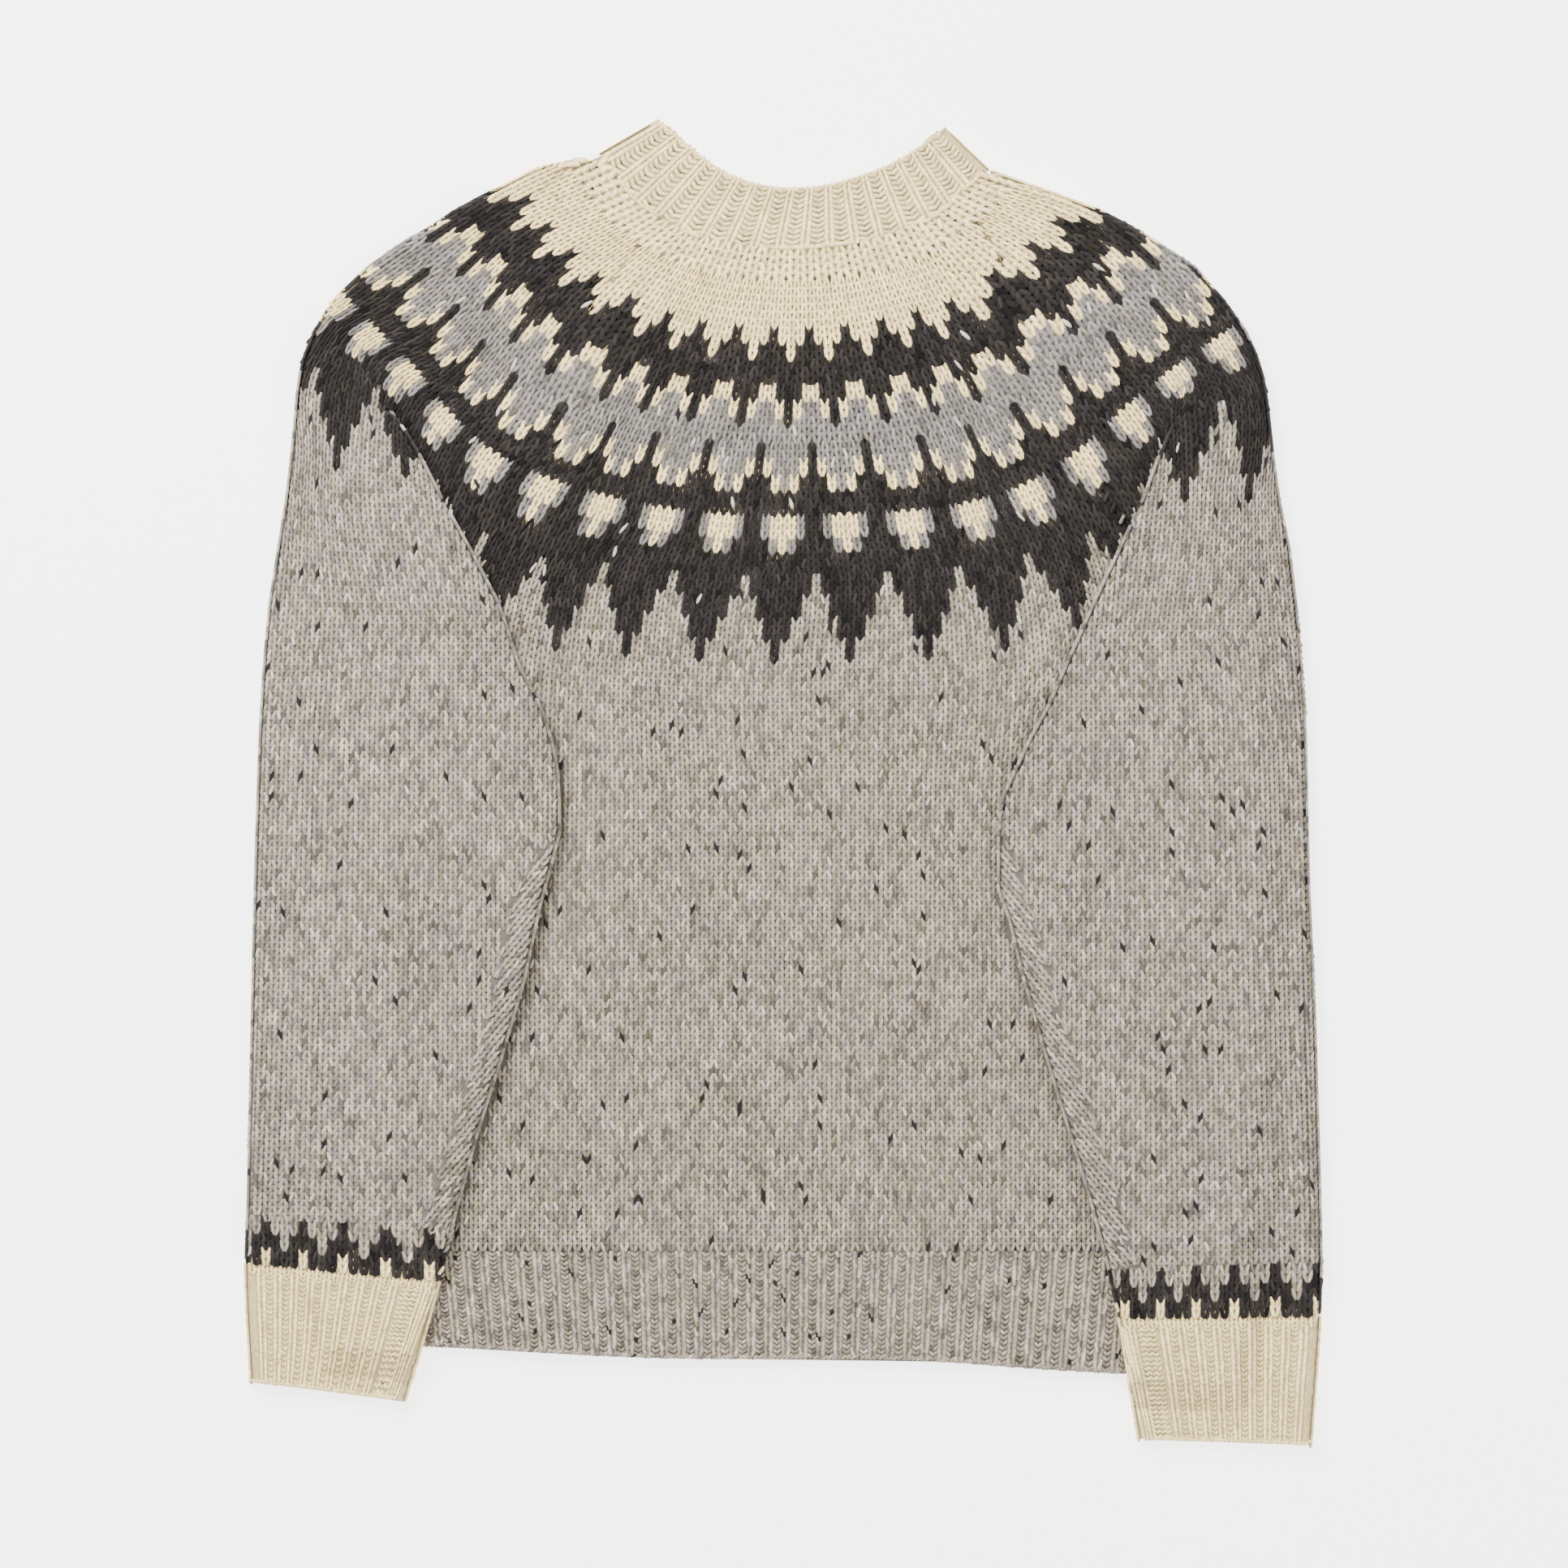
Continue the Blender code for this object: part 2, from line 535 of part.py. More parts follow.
def neckband(collection):
    """A ribbed ring, flattened: its back half lies on its front half, and it folds at both ends."""
    ribbed = NECK_RIBS * NECK_STEPS_PER_RIB
    plain = FRONT_BAND_COLUMNS
    fold_steps = 4
    seam = [(p, BACK_PLY) for p in along(BACK_NECK_SEAM, ribbed)]
    top = [(p, BACK_PLY) for p in along(BACK_NECK_TOP, ribbed)]
    front_seam = [(p, FLOOR_PLY) for p in reversed(along(FRONT_NECK_SEAM, plain))]
    front_top = [(p, FLOOR_PLY) for p in reversed(along(FRONT_NECK_TOP, plain))]

    def fold(low_end, high_end, start_z):
        """The two edges' points round one end, where the band turns over."""
        height = (high_end - low_end).normalized()
        side_x = 1 if low_end.x > 0 else -1
        away = Vector((-height.y, height.x)) * -side_x
        if away.x * side_x < 0:
            away = -away
        radius = PLY / 2
        middle = (BACK_PLY + FLOOR_PLY) / 2
        turned = 1 if start_z == BACK_PLY else -1
        edges = []
        for end in (low_end, high_end):
            line = []
            for i in range(1, fold_steps):
                angle = math.pi * (0.5 - i / fold_steps) * turned
                line.append((end + away * radius * math.cos(angle), middle + radius * math.sin(angle)))
            edges.append(line)
        return edges

    right = fold(seam[-1][0], top[-1][0], BACK_PLY)
    left = fold(seam[0][0], top[0][0], FLOOR_PLY)
    low_edge = seam + right[0] + front_seam + left[0] + seam[:1]
    high_edge = top + right[1] + front_top + left[1] + top[:1]
    gap, faded_by = 0.012, 0.15  # shares of the band's height
    grid, outside = [], []
    for share in (gap, faded_by, 1.0):
        grid.append([Vector((*a.lerp(b, share), mix(za, zb, share)))
                     for (a, za), (b, zb) in zip(low_edge, high_edge)])
        faded = smooth(share / faded_by)
        ribs = [rib_height(NECK_LOW_STEPS + i, faded, NECK_STEPS_PER_RIB, NECK_LOW_STEPS)
                for i in range(ribbed + 1)]
        outside.append(ribs + [WALL / 2] * (len(low_edge) - ribbed - 2) + ribs[:1])
    return wall("neckband", grid, [True] * len(grid), "cream_tweed", collection, -1, outside)


def main():
    for obj in list(bpy.data.objects):
        bpy.data.objects.remove(obj)
    collection = bpy.data.collections.new("jacquard_sweater")
    bpy.context.scene.collection.children.link(collection)
    corner_rows = list(zip(CORNER_ROWS["left"], CORNER_ROWS["right"]))
    panel("back_panel", BACK_PLY, BACK_NECK_SEAM, BACK_CORNERS, corner_rows, collection)
    panel("front_panel", FLOOR_PLY, FRONT_NECK_SEAM, FRONT_CORNERS, corner_rows[-1:], collection)
    hem("back_hem", BACK_PLY, HEM_RIBS, collection)
    hem("front_hem", FLOOR_PLY, 0, collection)
    neckband(collection)
    for side in ("left", "right"):
        sleeve(side, collection)
        cuff(side, collection)


main()
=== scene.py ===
# %% [markdown]
# # A patterned yoke sweater, laid flat
#
# The real thing is a pullover in tweed wool. A round yoke of leaves, blocks and spikes runs unbroken
# over the back and both shoulders, and the neck, the cuffs and the hem are ribbed. It lies on its
# front with the sleeves folded down over the back. The solids give the cloth its walls and its
# folds. What is left for this lesson is knitting: tens of thousands of small loops, each in its own
# yarn, and light that lets them be seen.

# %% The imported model
import json
import math

import bpy
import numpy as np
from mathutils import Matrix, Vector
from mathutils.bvhtree import BVHTree
from mathutils.kdtree import KDTree

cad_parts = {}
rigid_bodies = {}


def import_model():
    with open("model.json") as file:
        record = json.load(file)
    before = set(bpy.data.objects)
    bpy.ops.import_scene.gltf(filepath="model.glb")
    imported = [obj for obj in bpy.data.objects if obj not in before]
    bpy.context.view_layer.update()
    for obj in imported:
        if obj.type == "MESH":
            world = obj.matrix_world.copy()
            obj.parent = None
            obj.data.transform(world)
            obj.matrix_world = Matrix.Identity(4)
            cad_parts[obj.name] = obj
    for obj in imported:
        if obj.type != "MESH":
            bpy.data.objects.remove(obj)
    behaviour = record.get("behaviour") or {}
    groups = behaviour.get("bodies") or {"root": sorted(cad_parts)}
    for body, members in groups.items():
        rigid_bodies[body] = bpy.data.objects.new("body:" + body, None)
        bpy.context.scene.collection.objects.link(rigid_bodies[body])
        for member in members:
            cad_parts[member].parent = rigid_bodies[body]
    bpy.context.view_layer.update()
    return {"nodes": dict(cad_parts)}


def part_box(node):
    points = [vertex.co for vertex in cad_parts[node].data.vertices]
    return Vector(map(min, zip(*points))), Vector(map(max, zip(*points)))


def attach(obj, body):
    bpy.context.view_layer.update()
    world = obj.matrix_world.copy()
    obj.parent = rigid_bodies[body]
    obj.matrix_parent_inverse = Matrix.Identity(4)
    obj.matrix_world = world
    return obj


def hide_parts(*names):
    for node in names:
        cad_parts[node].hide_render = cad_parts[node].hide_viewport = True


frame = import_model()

MM = 0.001
rng = np.random.default_rng(1778)
print("pieces in the frame:", ", ".join(sorted(frame["nodes"])))

# %% [markdown]
# ## Yarn colours
#
# The wool is spun from fibres of several colours. Cream, charcoal and two greys are the ground
# shades. Every strand gets a shade of its own round its yarn's colour, and now and then a fleck of
# another fibre takes its place. The table lists the yarns with linear colour values, how far their
# strands differ, how often a dark or a white fleck turns up, and how deep the painted shade in the gaps
# between strands is.

# %% Yarns
YARNS = {
    # name: colour, spread between strands, share of dark flecks, of white flecks, painted shade of the gaps
    "cream": ((1.0, 0.79, 0.405), 0.12, 0.0, 0.0, 0.40),
    "charcoal": ((0.0215, 0.0178, 0.0158), 0.36, 0.0, 0.005, 0.35),
    "leaf_grey": ((0.235, 0.212, 0.19), 0.20, 0.001, 0.012, 0.26),
    "marl": ((0.322, 0.278, 0.219), 0.29, 0.009, 0.010, 0.26),
    "sleeve_marl": ((0.317, 0.276, 0.223), 0.29, 0.009, 0.010, 0.26),
}
YARN_NAMES = list(YARNS)
COLOURS, SPREADS, DARK_SHARES, WHITE_SHARES, GAP_PAINTED_SHADES = (np.array(c) for c in zip(*YARNS.values()))
DARK_FLECK = (0.018, 0.016, 0.015)
WHITE_FLECK = (0.60, 0.54, 0.46)
MOST_SPREADS = 2.2  # no strand is further from its yarn's shade
WARMTH = 0.25  # how much of the spread turns a strand warmer or cooler


def strand_colours(codes):
    """A colour for each strand: its yarn's shade, a little lighter or darker, or a fleck."""
    spread = SPREADS[codes]
    shade = 1 + spread * rng.standard_normal(len(codes)).clip(-MOST_SPREADS, MOST_SPREADS)
    warmth = 1 + WARMTH * spread * rng.standard_normal(len(codes))
    colours = COLOURS[codes] * shade[:, None]
    colours[:, 2] *= warmth
    draw = rng.random(len(codes))
    colours[draw < DARK_SHARES[codes]] = DARK_FLECK
    colours[draw > 1 - WHITE_SHARES[codes]] = WHITE_FLECK
    return colours


# Painted shade: the yarn's colour darkened, standing in for the shadow between strands.
def gap_painted_shade_colours(codes):
    return COLOURS[codes] * GAP_PAINTED_SHADES[codes][:, None]


def all_of(yarn, count):
    return np.full(count, YARN_NAMES.index(yarn))


print("yarns:", ", ".join(YARN_NAMES))

# %% [markdown]
# ## The pattern's chart
#
# Knitters read a yoke from a chart: rows from the neck down, and the stitches of one repeat across.
# This one is short because every motif is symmetric. A line says how many rows it lasts, how many
# stitches one repeat has there, and one letter a stitch, starting at the repeat's middle. The yoke
# grows from two stitches a repeat at the neck to eight at its last spikes.

# %% Yoke and cuff charts
LETTERS = {"c": "cream", "d": "charcoal", "g": "leaf_grey", "m": "marl"}
SLEEVE_LETTERS = LETTERS | {"m": "sleeve_marl"}
YOKE_CHART = (
    # rows, stitches of one repeat from its middle
    (4, "cc"),
    (6, "cccc"),
    (2, "ccdc"),
    (2, "cddd"),
    (3, "dddd"),
    (2, "ddccd"),
    (2, "dcggc"),
    (1, "dgggg"),
    (2, "ggggg"),
    (2, "gggdgg"),
    (2, "ggcdcg"),
    (2, "gcdddc"),
    (3, "dddddd"),
    (3, "ccgddgc"),
    (2, "cgddddg"),
    (3, "ddddddd"),
    (3, "ddddmddd"),
    (3, "dddmmmdd"),
    (3, "ddmmmmmd"),
    (3, "dmmmmmmm"),
)
BODY_REPEAT = "mmmmmmmm"
CUFF_CHART = (
    # rows above the cuff, stitches of one repeat
    (2, "dmmm"),
    (2, "ddmd"),
    (2, "cddd"),
)


def chart_rows(chart):
    return [line for rows, line in chart for _ in range(rows)]


def yarns_of(lines, letters=LETTERS):
    """A function that gives the yarns of one repeat in any row. The last line goes on for ever."""
    return lambda row: [letters[c] for c in lines[min(row, len(lines) - 1)]]


def chart_grid(first_row, last_row, low_phase, high_phase, yarns):
    """Phase, row, share of a repeat and yarn of every stitch between two rows and two phases."""
    found = []
    for row in range(first_row, last_row):
        line = yarns(row)
        for motif in range(math.floor(low_phase), math.ceil(high_phase) + 1):
            for j, yarn in enumerate(line):
                phase = motif + j / len(line)
                if low_phase <= phase <= high_phase:
                    found.append((phase, row + 0.5, 1 / len(line), YARN_NAMES.index(yarn)))
    return np.array(found)


yoke_rows = chart_rows(YOKE_CHART)
cuff_rows = chart_rows(CUFF_CHART)
body_yarns = yarns_of(yoke_rows + [BODY_REPEAT])
sleeve_yarns = yarns_of(yoke_rows + [BODY_REPEAT], SLEEVE_LETTERS)
print("yoke:", len(yoke_rows), "rows; cuff band:", len(cuff_rows), "rows")

# %% [markdown]
# ## The cloth under the loops
#
# Under the loops lies the cloth itself: a closed wall, exactly where the solid of each piece is. It
# could be drawn again from outlines, but the solid already has every fold in the right place. So each
# cloth is a copy of its solid, merged and cut by planes into a fine grid, and the grid can then bend.
# Worn knitting never lies dead flat, so soft ridges and troughs are laid over the top. The
# side that rests on the table rises by the thickness of one loop, which keeps the loops there flat.

# %% Cloth walls and their creases
GRID = 9 * MM
LOOP_RISE = 0.9 * MM
MERGED = 0.02 * MM
CLEARANCE = 0.05 * MM
UP, DOWN = Vector((0, 0, 1)), Vector((0, 0, -1))
NODES = sorted(frame["nodes"])
CREASES = (
    # x, y, degrees from +X, length, width (mm), height (mm, troughs are negative)
    (-215, 40, 80, 150, 16, 0.8), (-240, -70, 96, 170, 14, -0.6), (-180, -20, 60, 70, 9, 0.7),
    (-165, -38, 25, 60, 7, -0.7), (-200, -150, 80, 120, 12, 0.6), (-262, 120, 75, 120, 12, 0.6),
    (218, 50, 100, 150, 16, 0.8), (245, -60, 84, 170, 14, -0.6), (165, -8, 140, 75, 9, 0.8),
    (150, -34, 155, 55, 7, -0.8), (172, 30, 120, 70, 8, 0.6), (205, -165, 100, 130, 12, 0.6),
    (-70, 40, 95, 190, 26, 0.6), (10, -60, 88, 260, 34, -0.5), (80, 20, 84, 200, 24, 0.6),
    (-40, -160, 100, 180, 28, 0.5), (60, -190, 80, 150, 24, -0.5), (-100, -100, 70, 120, 18, -0.5),
    (105, -90, 108, 130, 18, 0.5), (-120, 210, 140, 90, 14, 0.5), (140, 215, 40, 90, 14, 0.5),
)


def crease_height(x, y):
    """Height that the creases add, all in metres."""
    height = np.zeros_like(x)
    for cx, cy, degrees, length, width, rise in CREASES:
        c, s = math.cos(math.radians(degrees)), math.sin(math.radians(degrees))
        dx, dy = x / MM - cx, y / MM - cy
        run, off = dx * c + dy * s, dy * c - dx * s
        height += rise * MM * np.exp(-((run / (length / 2)) ** 2) - (off / width) ** 2)
    return height


def select_only(piece):
    bpy.ops.object.select_all(action="DESELECT")
    piece.select_set(True)
    bpy.context.view_layer.objects.active = piece


def corners(mesh):
    found = np.empty(len(mesh.vertices) * 3)
    mesh.vertices.foreach_get("co", found)
    return found.reshape(-1, 3)


def cloth_from(node):
    """A copy of the node's solid with its doubles merged, cut into a grid."""
    piece = bpy.data.objects.new(node + "_cloth", frame["nodes"][node].data.copy())
    bpy.context.scene.collection.objects.link(piece)
    piece.data.materials.clear()
    select_only(piece)
    if piece.data.has_custom_normals:
        bpy.ops.mesh.customdata_custom_splitnormals_clear()
    low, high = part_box(node)
    bpy.ops.object.mode_set(mode="EDIT")
    bpy.ops.mesh.select_all(action="SELECT")
    bpy.ops.mesh.remove_doubles(threshold=MERGED)
    for axis in (0, 1):
        normal = [float(axis == 0), float(axis == 1), 0.0]
        for place in np.arange(low[axis] + GRID, high[axis], GRID):
            bpy.ops.mesh.select_all(action="SELECT")
            bpy.ops.mesh.bisect(plane_co=[place * n for n in normal], plane_no=normal)
    bpy.ops.object.mode_set(mode="OBJECT")
    return piece


def tree_of(pieces):
    """One search tree over several meshes, and the piece that each of its faces belongs to."""
    points, faces, owner = [], [], []
    for index, piece in enumerate(pieces):
        start = len(points)
        points += [v.co.copy() for v in piece.data.vertices]
        faces += [[start + i for i in p.vertices] for p in piece.data.polygons]
        owner += [index] * len(piece.data.polygons)
    return BVHTree.FromPolygons(points, faces), np.array(owner)


def seen_from(tree, points, direction):
    """Which points have nothing between them and a viewer on that side."""
    step = direction * CLEARANCE
    return np.array([tree.ray_cast(Vector(p) + step, direction)[0] is None for p in points])


cloths = {node: cloth_from(node) for node in NODES}
flat_tree, _ = tree_of(cloths.values())
for node, piece in cloths.items():
    co = corners(piece.data)
    normals = np.empty(len(co) * 3)
    piece.data.vertices.foreach_get("normal", normals)
    facing = normals.reshape(-1, 3)[:, 2]
    top = seen_from(flat_tree, co, UP) & (facing > 0.3)
    rests = seen_from(flat_tree, co, DOWN) & (facing < -0.3)
    co[top, 2] += crease_height(co[top, 0], co[top, 1])
    co[rests, 2] = np.maximum(co[rests, 2], LOOP_RISE)
    piece.data.vertices.foreach_set("co", co.ravel())
    piece.data.update()
    print(f"{piece.name}: {len(piece.data.polygons)} faces, {top.sum()} points on top")
tree, owner = tree_of(cloths.values())
node_trees = {node: tree_of([piece])[0] for node, piece in cloths.items()}

# %% [markdown]
# ## One loop of yarn
#
# A knitted stitch shows as a V of two strands. Each strand is modelled once: a small grid whose two
# ends are drawn together into points and whose middle is lifted, so it looks like a grain of rice.
# Copies of it are then placed by arrays, which is what makes so many of them possible. The strands
# on the side that rests on the table are simpler, with one raised point each.

# %% Grains
def mesh_data(piece):
    """The corners and faces of a small template, and the template is removed."""
    points = corners(piece.data)
    faces = [list(p.vertices) for p in piece.data.polygons]
    bpy.data.objects.remove(piece)
    return points, faces


def pick(piece, test):
    """Selects in edit mode the corners that pass a test on their coordinates."""
    bpy.ops.mesh.select_all(action="DESELECT")
    bpy.ops.object.mode_set(mode="OBJECT")
    for vertex in piece.data.vertices:
        vertex.select = test(vertex.co)
    bpy.ops.object.mode_set(mode="EDIT")


def fine_grain():
    """A grain of rice, one unit half long, half wide and high."""
    bpy.ops.mesh.primitive_grid_add(x_subdivisions=3, y_subdivisions=2, size=2)
    piece = bpy.context.object
    bpy.ops.object.mode_set(mode="EDIT")
    bpy.ops.mesh.select_mode(type="VERT")
    for end in (-1, 1):
        pick(piece, lambda co: co.x * end > 0.9)
        bpy.ops.mesh.merge(type="CENTER")
    pick(piece, lambda co: abs(co.x) < 0.9)
    bpy.ops.transform.resize(value=(2.0, 1.0, 1.0))
    pick(piece, lambda co: abs(co.x) < 0.9 and abs(co.y) < 0.5)
    bpy.ops.transform.translate(value=(0, 0, 1))
    bpy.ops.object.mode_set(mode="OBJECT")
    return mesh_data(piece)


def plain_grain():
    """A diamond with a raised middle."""
    bpy.ops.mesh.primitive_circle_add(vertices=4, radius=1, fill_type="NGON")
    piece = bpy.context.object
    bpy.ops.object.mode_set(mode="EDIT")
    bpy.ops.mesh.select_all(action="SELECT")
    bpy.ops.mesh.poke(offset=1.0)
    bpy.ops.object.mode_set(mode="OBJECT")
    return mesh_data(piece)


def bed():
    """A flat patch under each stitch, painted in shade, so that the gaps between strands look shadowed and
    of its colour.
    """
    bpy.ops.mesh.primitive_plane_add(size=2)
    return mesh_data(bpy.context.object)


FINE, PLAIN, SHADE_BED = fine_grain(), plain_grain(), bed()
for name, (points, faces) in (("fine grain", FINE), ("plain grain", PLAIN), ("bed", SHADE_BED)):
    print(f"{name}: {len(points)} corners, {len(faces)} faces")

# %% [markdown]
# ## Materials
#
# Wool is matt, with a faint bright rim where its loose fibres catch the light. The shader takes each
# loop's own colour, breaks it up with noise as fine as fibres, and adds a little sheen.

# %% Shader maths and the wool's material
class Maths:
    """A shader value that takes part in Python expressions."""

    def __init__(self, tree, socket):
        self.tree, self.socket = tree, socket

    def node(self, kind, output=0, inputs=(), **settings):
        made = self.tree.nodes.new(kind)
        for name, value in settings.items():
            setattr(made, name, value)
        for key, value in dict(inputs).items():
            value = value.socket if isinstance(value, Maths) else value
            if isinstance(value, bpy.types.NodeSocket):
                self.tree.links.new(value, made.inputs[key])
            else:
                made.inputs[key].default_value = value
        return Maths(self.tree, made.outputs[output])

    def math(self, operation, a, b):
        return self.node("ShaderNodeMath", inputs={0: a, 1: b}, operation=operation)

    def __add__(self, other):
        return self.math("ADD", self, other)

    def __mul__(self, other):
        return self.math("MULTIPLY", self, other)

    __radd__, __rmul__ = __add__, __mul__

    def tinted(self, shade):
        """A colour times a value."""
        return self.node("ShaderNodeVectorMath", inputs={0: self, 3: shade}, operation="SCALE")


def new_material(name):
    material = bpy.data.materials.new(name)
    material.use_nodes = True
    shader = material.node_tree.nodes["Principled BSDF"]
    return material, shader, Maths(material.node_tree, None)


def plain_material(name, colour, roughness):
    material, shader, _ = new_material(name)
    shader.inputs["Base Color"].default_value = (*colour, 1)
    shader.inputs["Roughness"].default_value = roughness
    return material


def wool_material(name):
    """Knitted wool, which takes the colour painted on each strand."""
    material, shader, m = new_material(name)
    place = m.node("ShaderNodeTexCoord", output="Object")
    strands = m.node("ShaderNodeMapping", inputs={"Vector": place, "Scale": (1.5, 0.7, 1.0)})
    fibres = m.node("ShaderNodeTexNoise", inputs={"Vector": place, "Scale": 2600.0, "Detail": 3.0})
    tweed = m.node("ShaderNodeTexNoise", inputs={"Vector": strands, "Scale": 620.0, "Detail": 2.0})
    patches = m.node("ShaderNodeTexNoise", inputs={"Vector": place, "Scale": 45.0, "Detail": 2.0})
    shade = 0.06 + 0.7 * fibres + 1.0 * tweed + 0.18 * patches
    yarn = m.node("ShaderNodeAttribute", output="Color", attribute_name="yarn")
    material.node_tree.links.new(yarn.tinted(shade).socket, shader.inputs["Base Color"])
    relief = {"Height": fibres, "Strength": 0.35, "Distance": 0.2 * MM}
    bump = m.node("ShaderNodeBump", output="Normal", inputs=relief)
    material.node_tree.links.new(bump.socket, shader.inputs["Normal"])
    shader.inputs["Roughness"].default_value = 0.95
    shader.inputs["Specular IOR Level"].default_value = 0.08
    shader.inputs["Sheen Weight"].default_value = 0.08
    shader.inputs["Sheen Roughness"].default_value = 0.6
    return material


wool = wool_material("tweed wool")
print("material:", wool.name)

# %% [markdown]
# ## Rows and wales on the folded garment
#
# In a round yoke the rows are arcs round the neck and the columns of stitches, called wales, spread
# like rays. Laid down and folded, these arcs bend in ways that no formula gives. So a few rows were
# measured, each at a handful of wales, and smooth curves run through them. A place is named by its
# row, counted from the neck, and its phase: how many repeats of the pattern it lies from the middle.

# %% Measured rows
BACK_ROWS = (
    # row, places on it as phase, x, y in millimetres
    (0, ((-8.7, -97, 337), (-7, -78, 312), (-5, -55, 298), (-3, -33, 291), (0, 6, 287), (3, 47, 292),
         (5, 72, 301), (7, 95, 317), (8.3, 108, 329))),
    (14, ((-8, -146, 298), (-7, -134, 283), (-6, -120, 268), (-5, -104, 253), (-4, -79, 241),
          (-3, -60, 234), (-1, -17, 228), (1, 25, 228), (3, 68, 235), (5, 110, 250), (6, 137, 272),
          (7, 155, 286), (8, 171, 302))),
    (30, ((-9, -224, 269), (-8, -205, 249), (-7, -187, 228), (-6, -171, 207), (-5, -148, 188),
          (-4, -117, 173), (-3, -91, 166), (-1, -30, 157), (1, 32, 157), (3, 97, 163), (4, 124, 172),
          (5, 152, 190), (6, 176, 211), (7, 203, 230), (8, 227, 249))),
    (35.5, ((-9, -244, 255), (-8, -227, 237), (-7, -206, 217), (-6, -186, 192), (-5, -162, 169),
            (-4, -131, 154), (-3, -99, 144), (-1, -34, 134), (1, 34, 134), (3, 104, 141), (4, 136, 151),
            (5, 165, 169), (6, 190, 193), (7, 214, 215), (8, 239, 232))),
    (41, ((-6.5, -208, 183), (-5.5, -186, 158), (-4.5, -160, 134), (-3.5, -129, 121), (-2.5, -95, 118),
          (-0.5, -20, 111), (0.5, 18, 112), (2.5, 94, 116), (3.5, 131, 123), (4.5, 164, 134),
          (5.5, 192, 160), (6.5, 214, 183))),
    (53, ((-5, -197, 99), (-4, -161, 82), (-3, -123, 71), (-2, -85, 68), (0, -5, 64), (1, 36, 65),
          (3, 120, 71), (4, 159, 83), (5, 195, 99))),
    (73, ((-6, -248.5, -8.7), (0, -4.3, -8.7), (6, 239.9, -8.7))),
    (107, ((-6, -248.5, -132.8), (0, -4.3, -132.8), (6, 239.9, -132.8))),
    (140, ((-6, -248.5, -253.3), (0, -4.3, -253.3), (6, 239.9, -253.3))),
)
SLEEVE_ROWS = {
    "left": (
        (41, ((-9, -264, 228), (-8.5, -251, 223), (-8, -235, 218), (-7.5, -219, 211), (-7, -205, 202),
              (-6, -177, 185))),
        (53, ((-9, -268, 178), (-8, -241, 168), (-7, -203, 164), (-6, -163, 160))),
        (73, ((-9, -277, 88.6), (-7, -195, 88.6), (-5, -114, 88.6))),
    ),
    "right": (
        (41, ((6, 193, 183), (7, 215, 197), (7.5, 236, 205), (8, 252, 209), (8.5, 263, 211))),
        (53, ((6, 177, 150), (7, 216, 151), (8, 251, 151), (9, 278, 153))),
        (73, ((5, 127, 77), (7, 209, 77), (9, 290, 77))),
    ),
}
OUTER_DRIFT = ((88, 0), (30, 4.5), (-60, 7), (-150, 9.5), (-235, 12), (-290, 12))  # y, mm outward
OUTER_FOLD = 278  # mm from the middle, where the drift is full
DRIFT_REACH = 60.0
ROW_HEIGHT = 3.66
WALE = 5.1
SIDES = {"left": -1, "right": 1}  # and which way x grows from the middle


def spline(knots, values, places):
    """A smooth curve through values (knot, place, axis) for each place, straight past its ends."""
    knots = np.array(knots, float)
    slopes = np.gradient(values, knots, axis=0)
    k = np.clip(np.searchsorted(knots, places, side="right") - 1, 0, len(knots) - 2)
    each = np.arange(len(places))
    run = (knots[k + 1] - knots[k])[:, None]
    share = (places - knots[k])[:, None] / run
    t = share.clip(0.0, 1.0)
    start, end = values[k, each], values[k + 1, each]
    leave, arrive = slopes[k, each], slopes[k + 1, each]
    inside = (
        start * (2 * t**3 - 3 * t**2 + 1) + end * (3 * t**2 - 2 * t**3)
        + run * (leave * (t**3 - 2 * t**2 + t) + arrive * (t**3 - t**2))
    )
    return inside + (share - t) * run * np.where(share > 1, arrive, leave)


def through(rows):
    """A function that gives the place (mm) of any phase and row."""
    heights = [row for row, _ in rows]
    lines = [np.array(points, float) for _, points in rows]

    def at(phase, row):
        across = [
            spline(line[:, 0], np.repeat(line[:, None, 1:], len(phase), axis=1), phase) for line in lines
        ]
        return spline(heights, np.array(across), row)

    return at


def sleeve_field(side):
    """Below its measured rows, a sleeve's wales follow its outer fold, less so further from it."""
    sign = SIDES[side]
    upper = through(BACK_ROWS[2:4] + SLEEVE_ROWS[side])
    last = SLEEVE_ROWS[side][-1][0]
    drift_y, drift_x = np.array(OUTER_DRIFT[::-1], float).T

    def at(phase, row):
        place = upper(phase, np.minimum(row, last))
        past = np.maximum(row - last, 0)
        place[:, 1] -= past * ROW_HEIGHT
        from_fold = np.abs(OUTER_FOLD - sign * place[:, 0])
        fade = np.exp(-((from_fold / DRIFT_REACH) ** 2))
        place[:, 0] += sign * np.interp(place[:, 1], drift_y, drift_x) * fade * (past > 0)
        return place

    return at


back_at = through(BACK_ROWS)
sleeve_at = {side: sleeve_field(side) for side in SIDES}
test = back_at(np.array([0.0, 3.0]), np.array([20.0, 20.0]))
print("row 20 lies at", np.round(test, 1).tolist())

# %% [markdown]
# ## Casting strands on the cloth
#
# Rays are cast down on the folded cloth, and up for the underside. Where one meets the outermost
# layer a strand is laid, turned to the slope there and joined to the piece that was met. A strand that
# just misses an edge is moved to it, and over a crease the strands turn little by little.

# %% Rays
CAST_FROM = 60 * MM
LEAST_FACING = 0.5  # a steeper place counts as missed
NUDGES = (1.0, -1.0)  # mm, tried across a strand whose ray just misses the cloth
SOFTENING = 2.0  # mm to either side, over which a crease's turn is spread


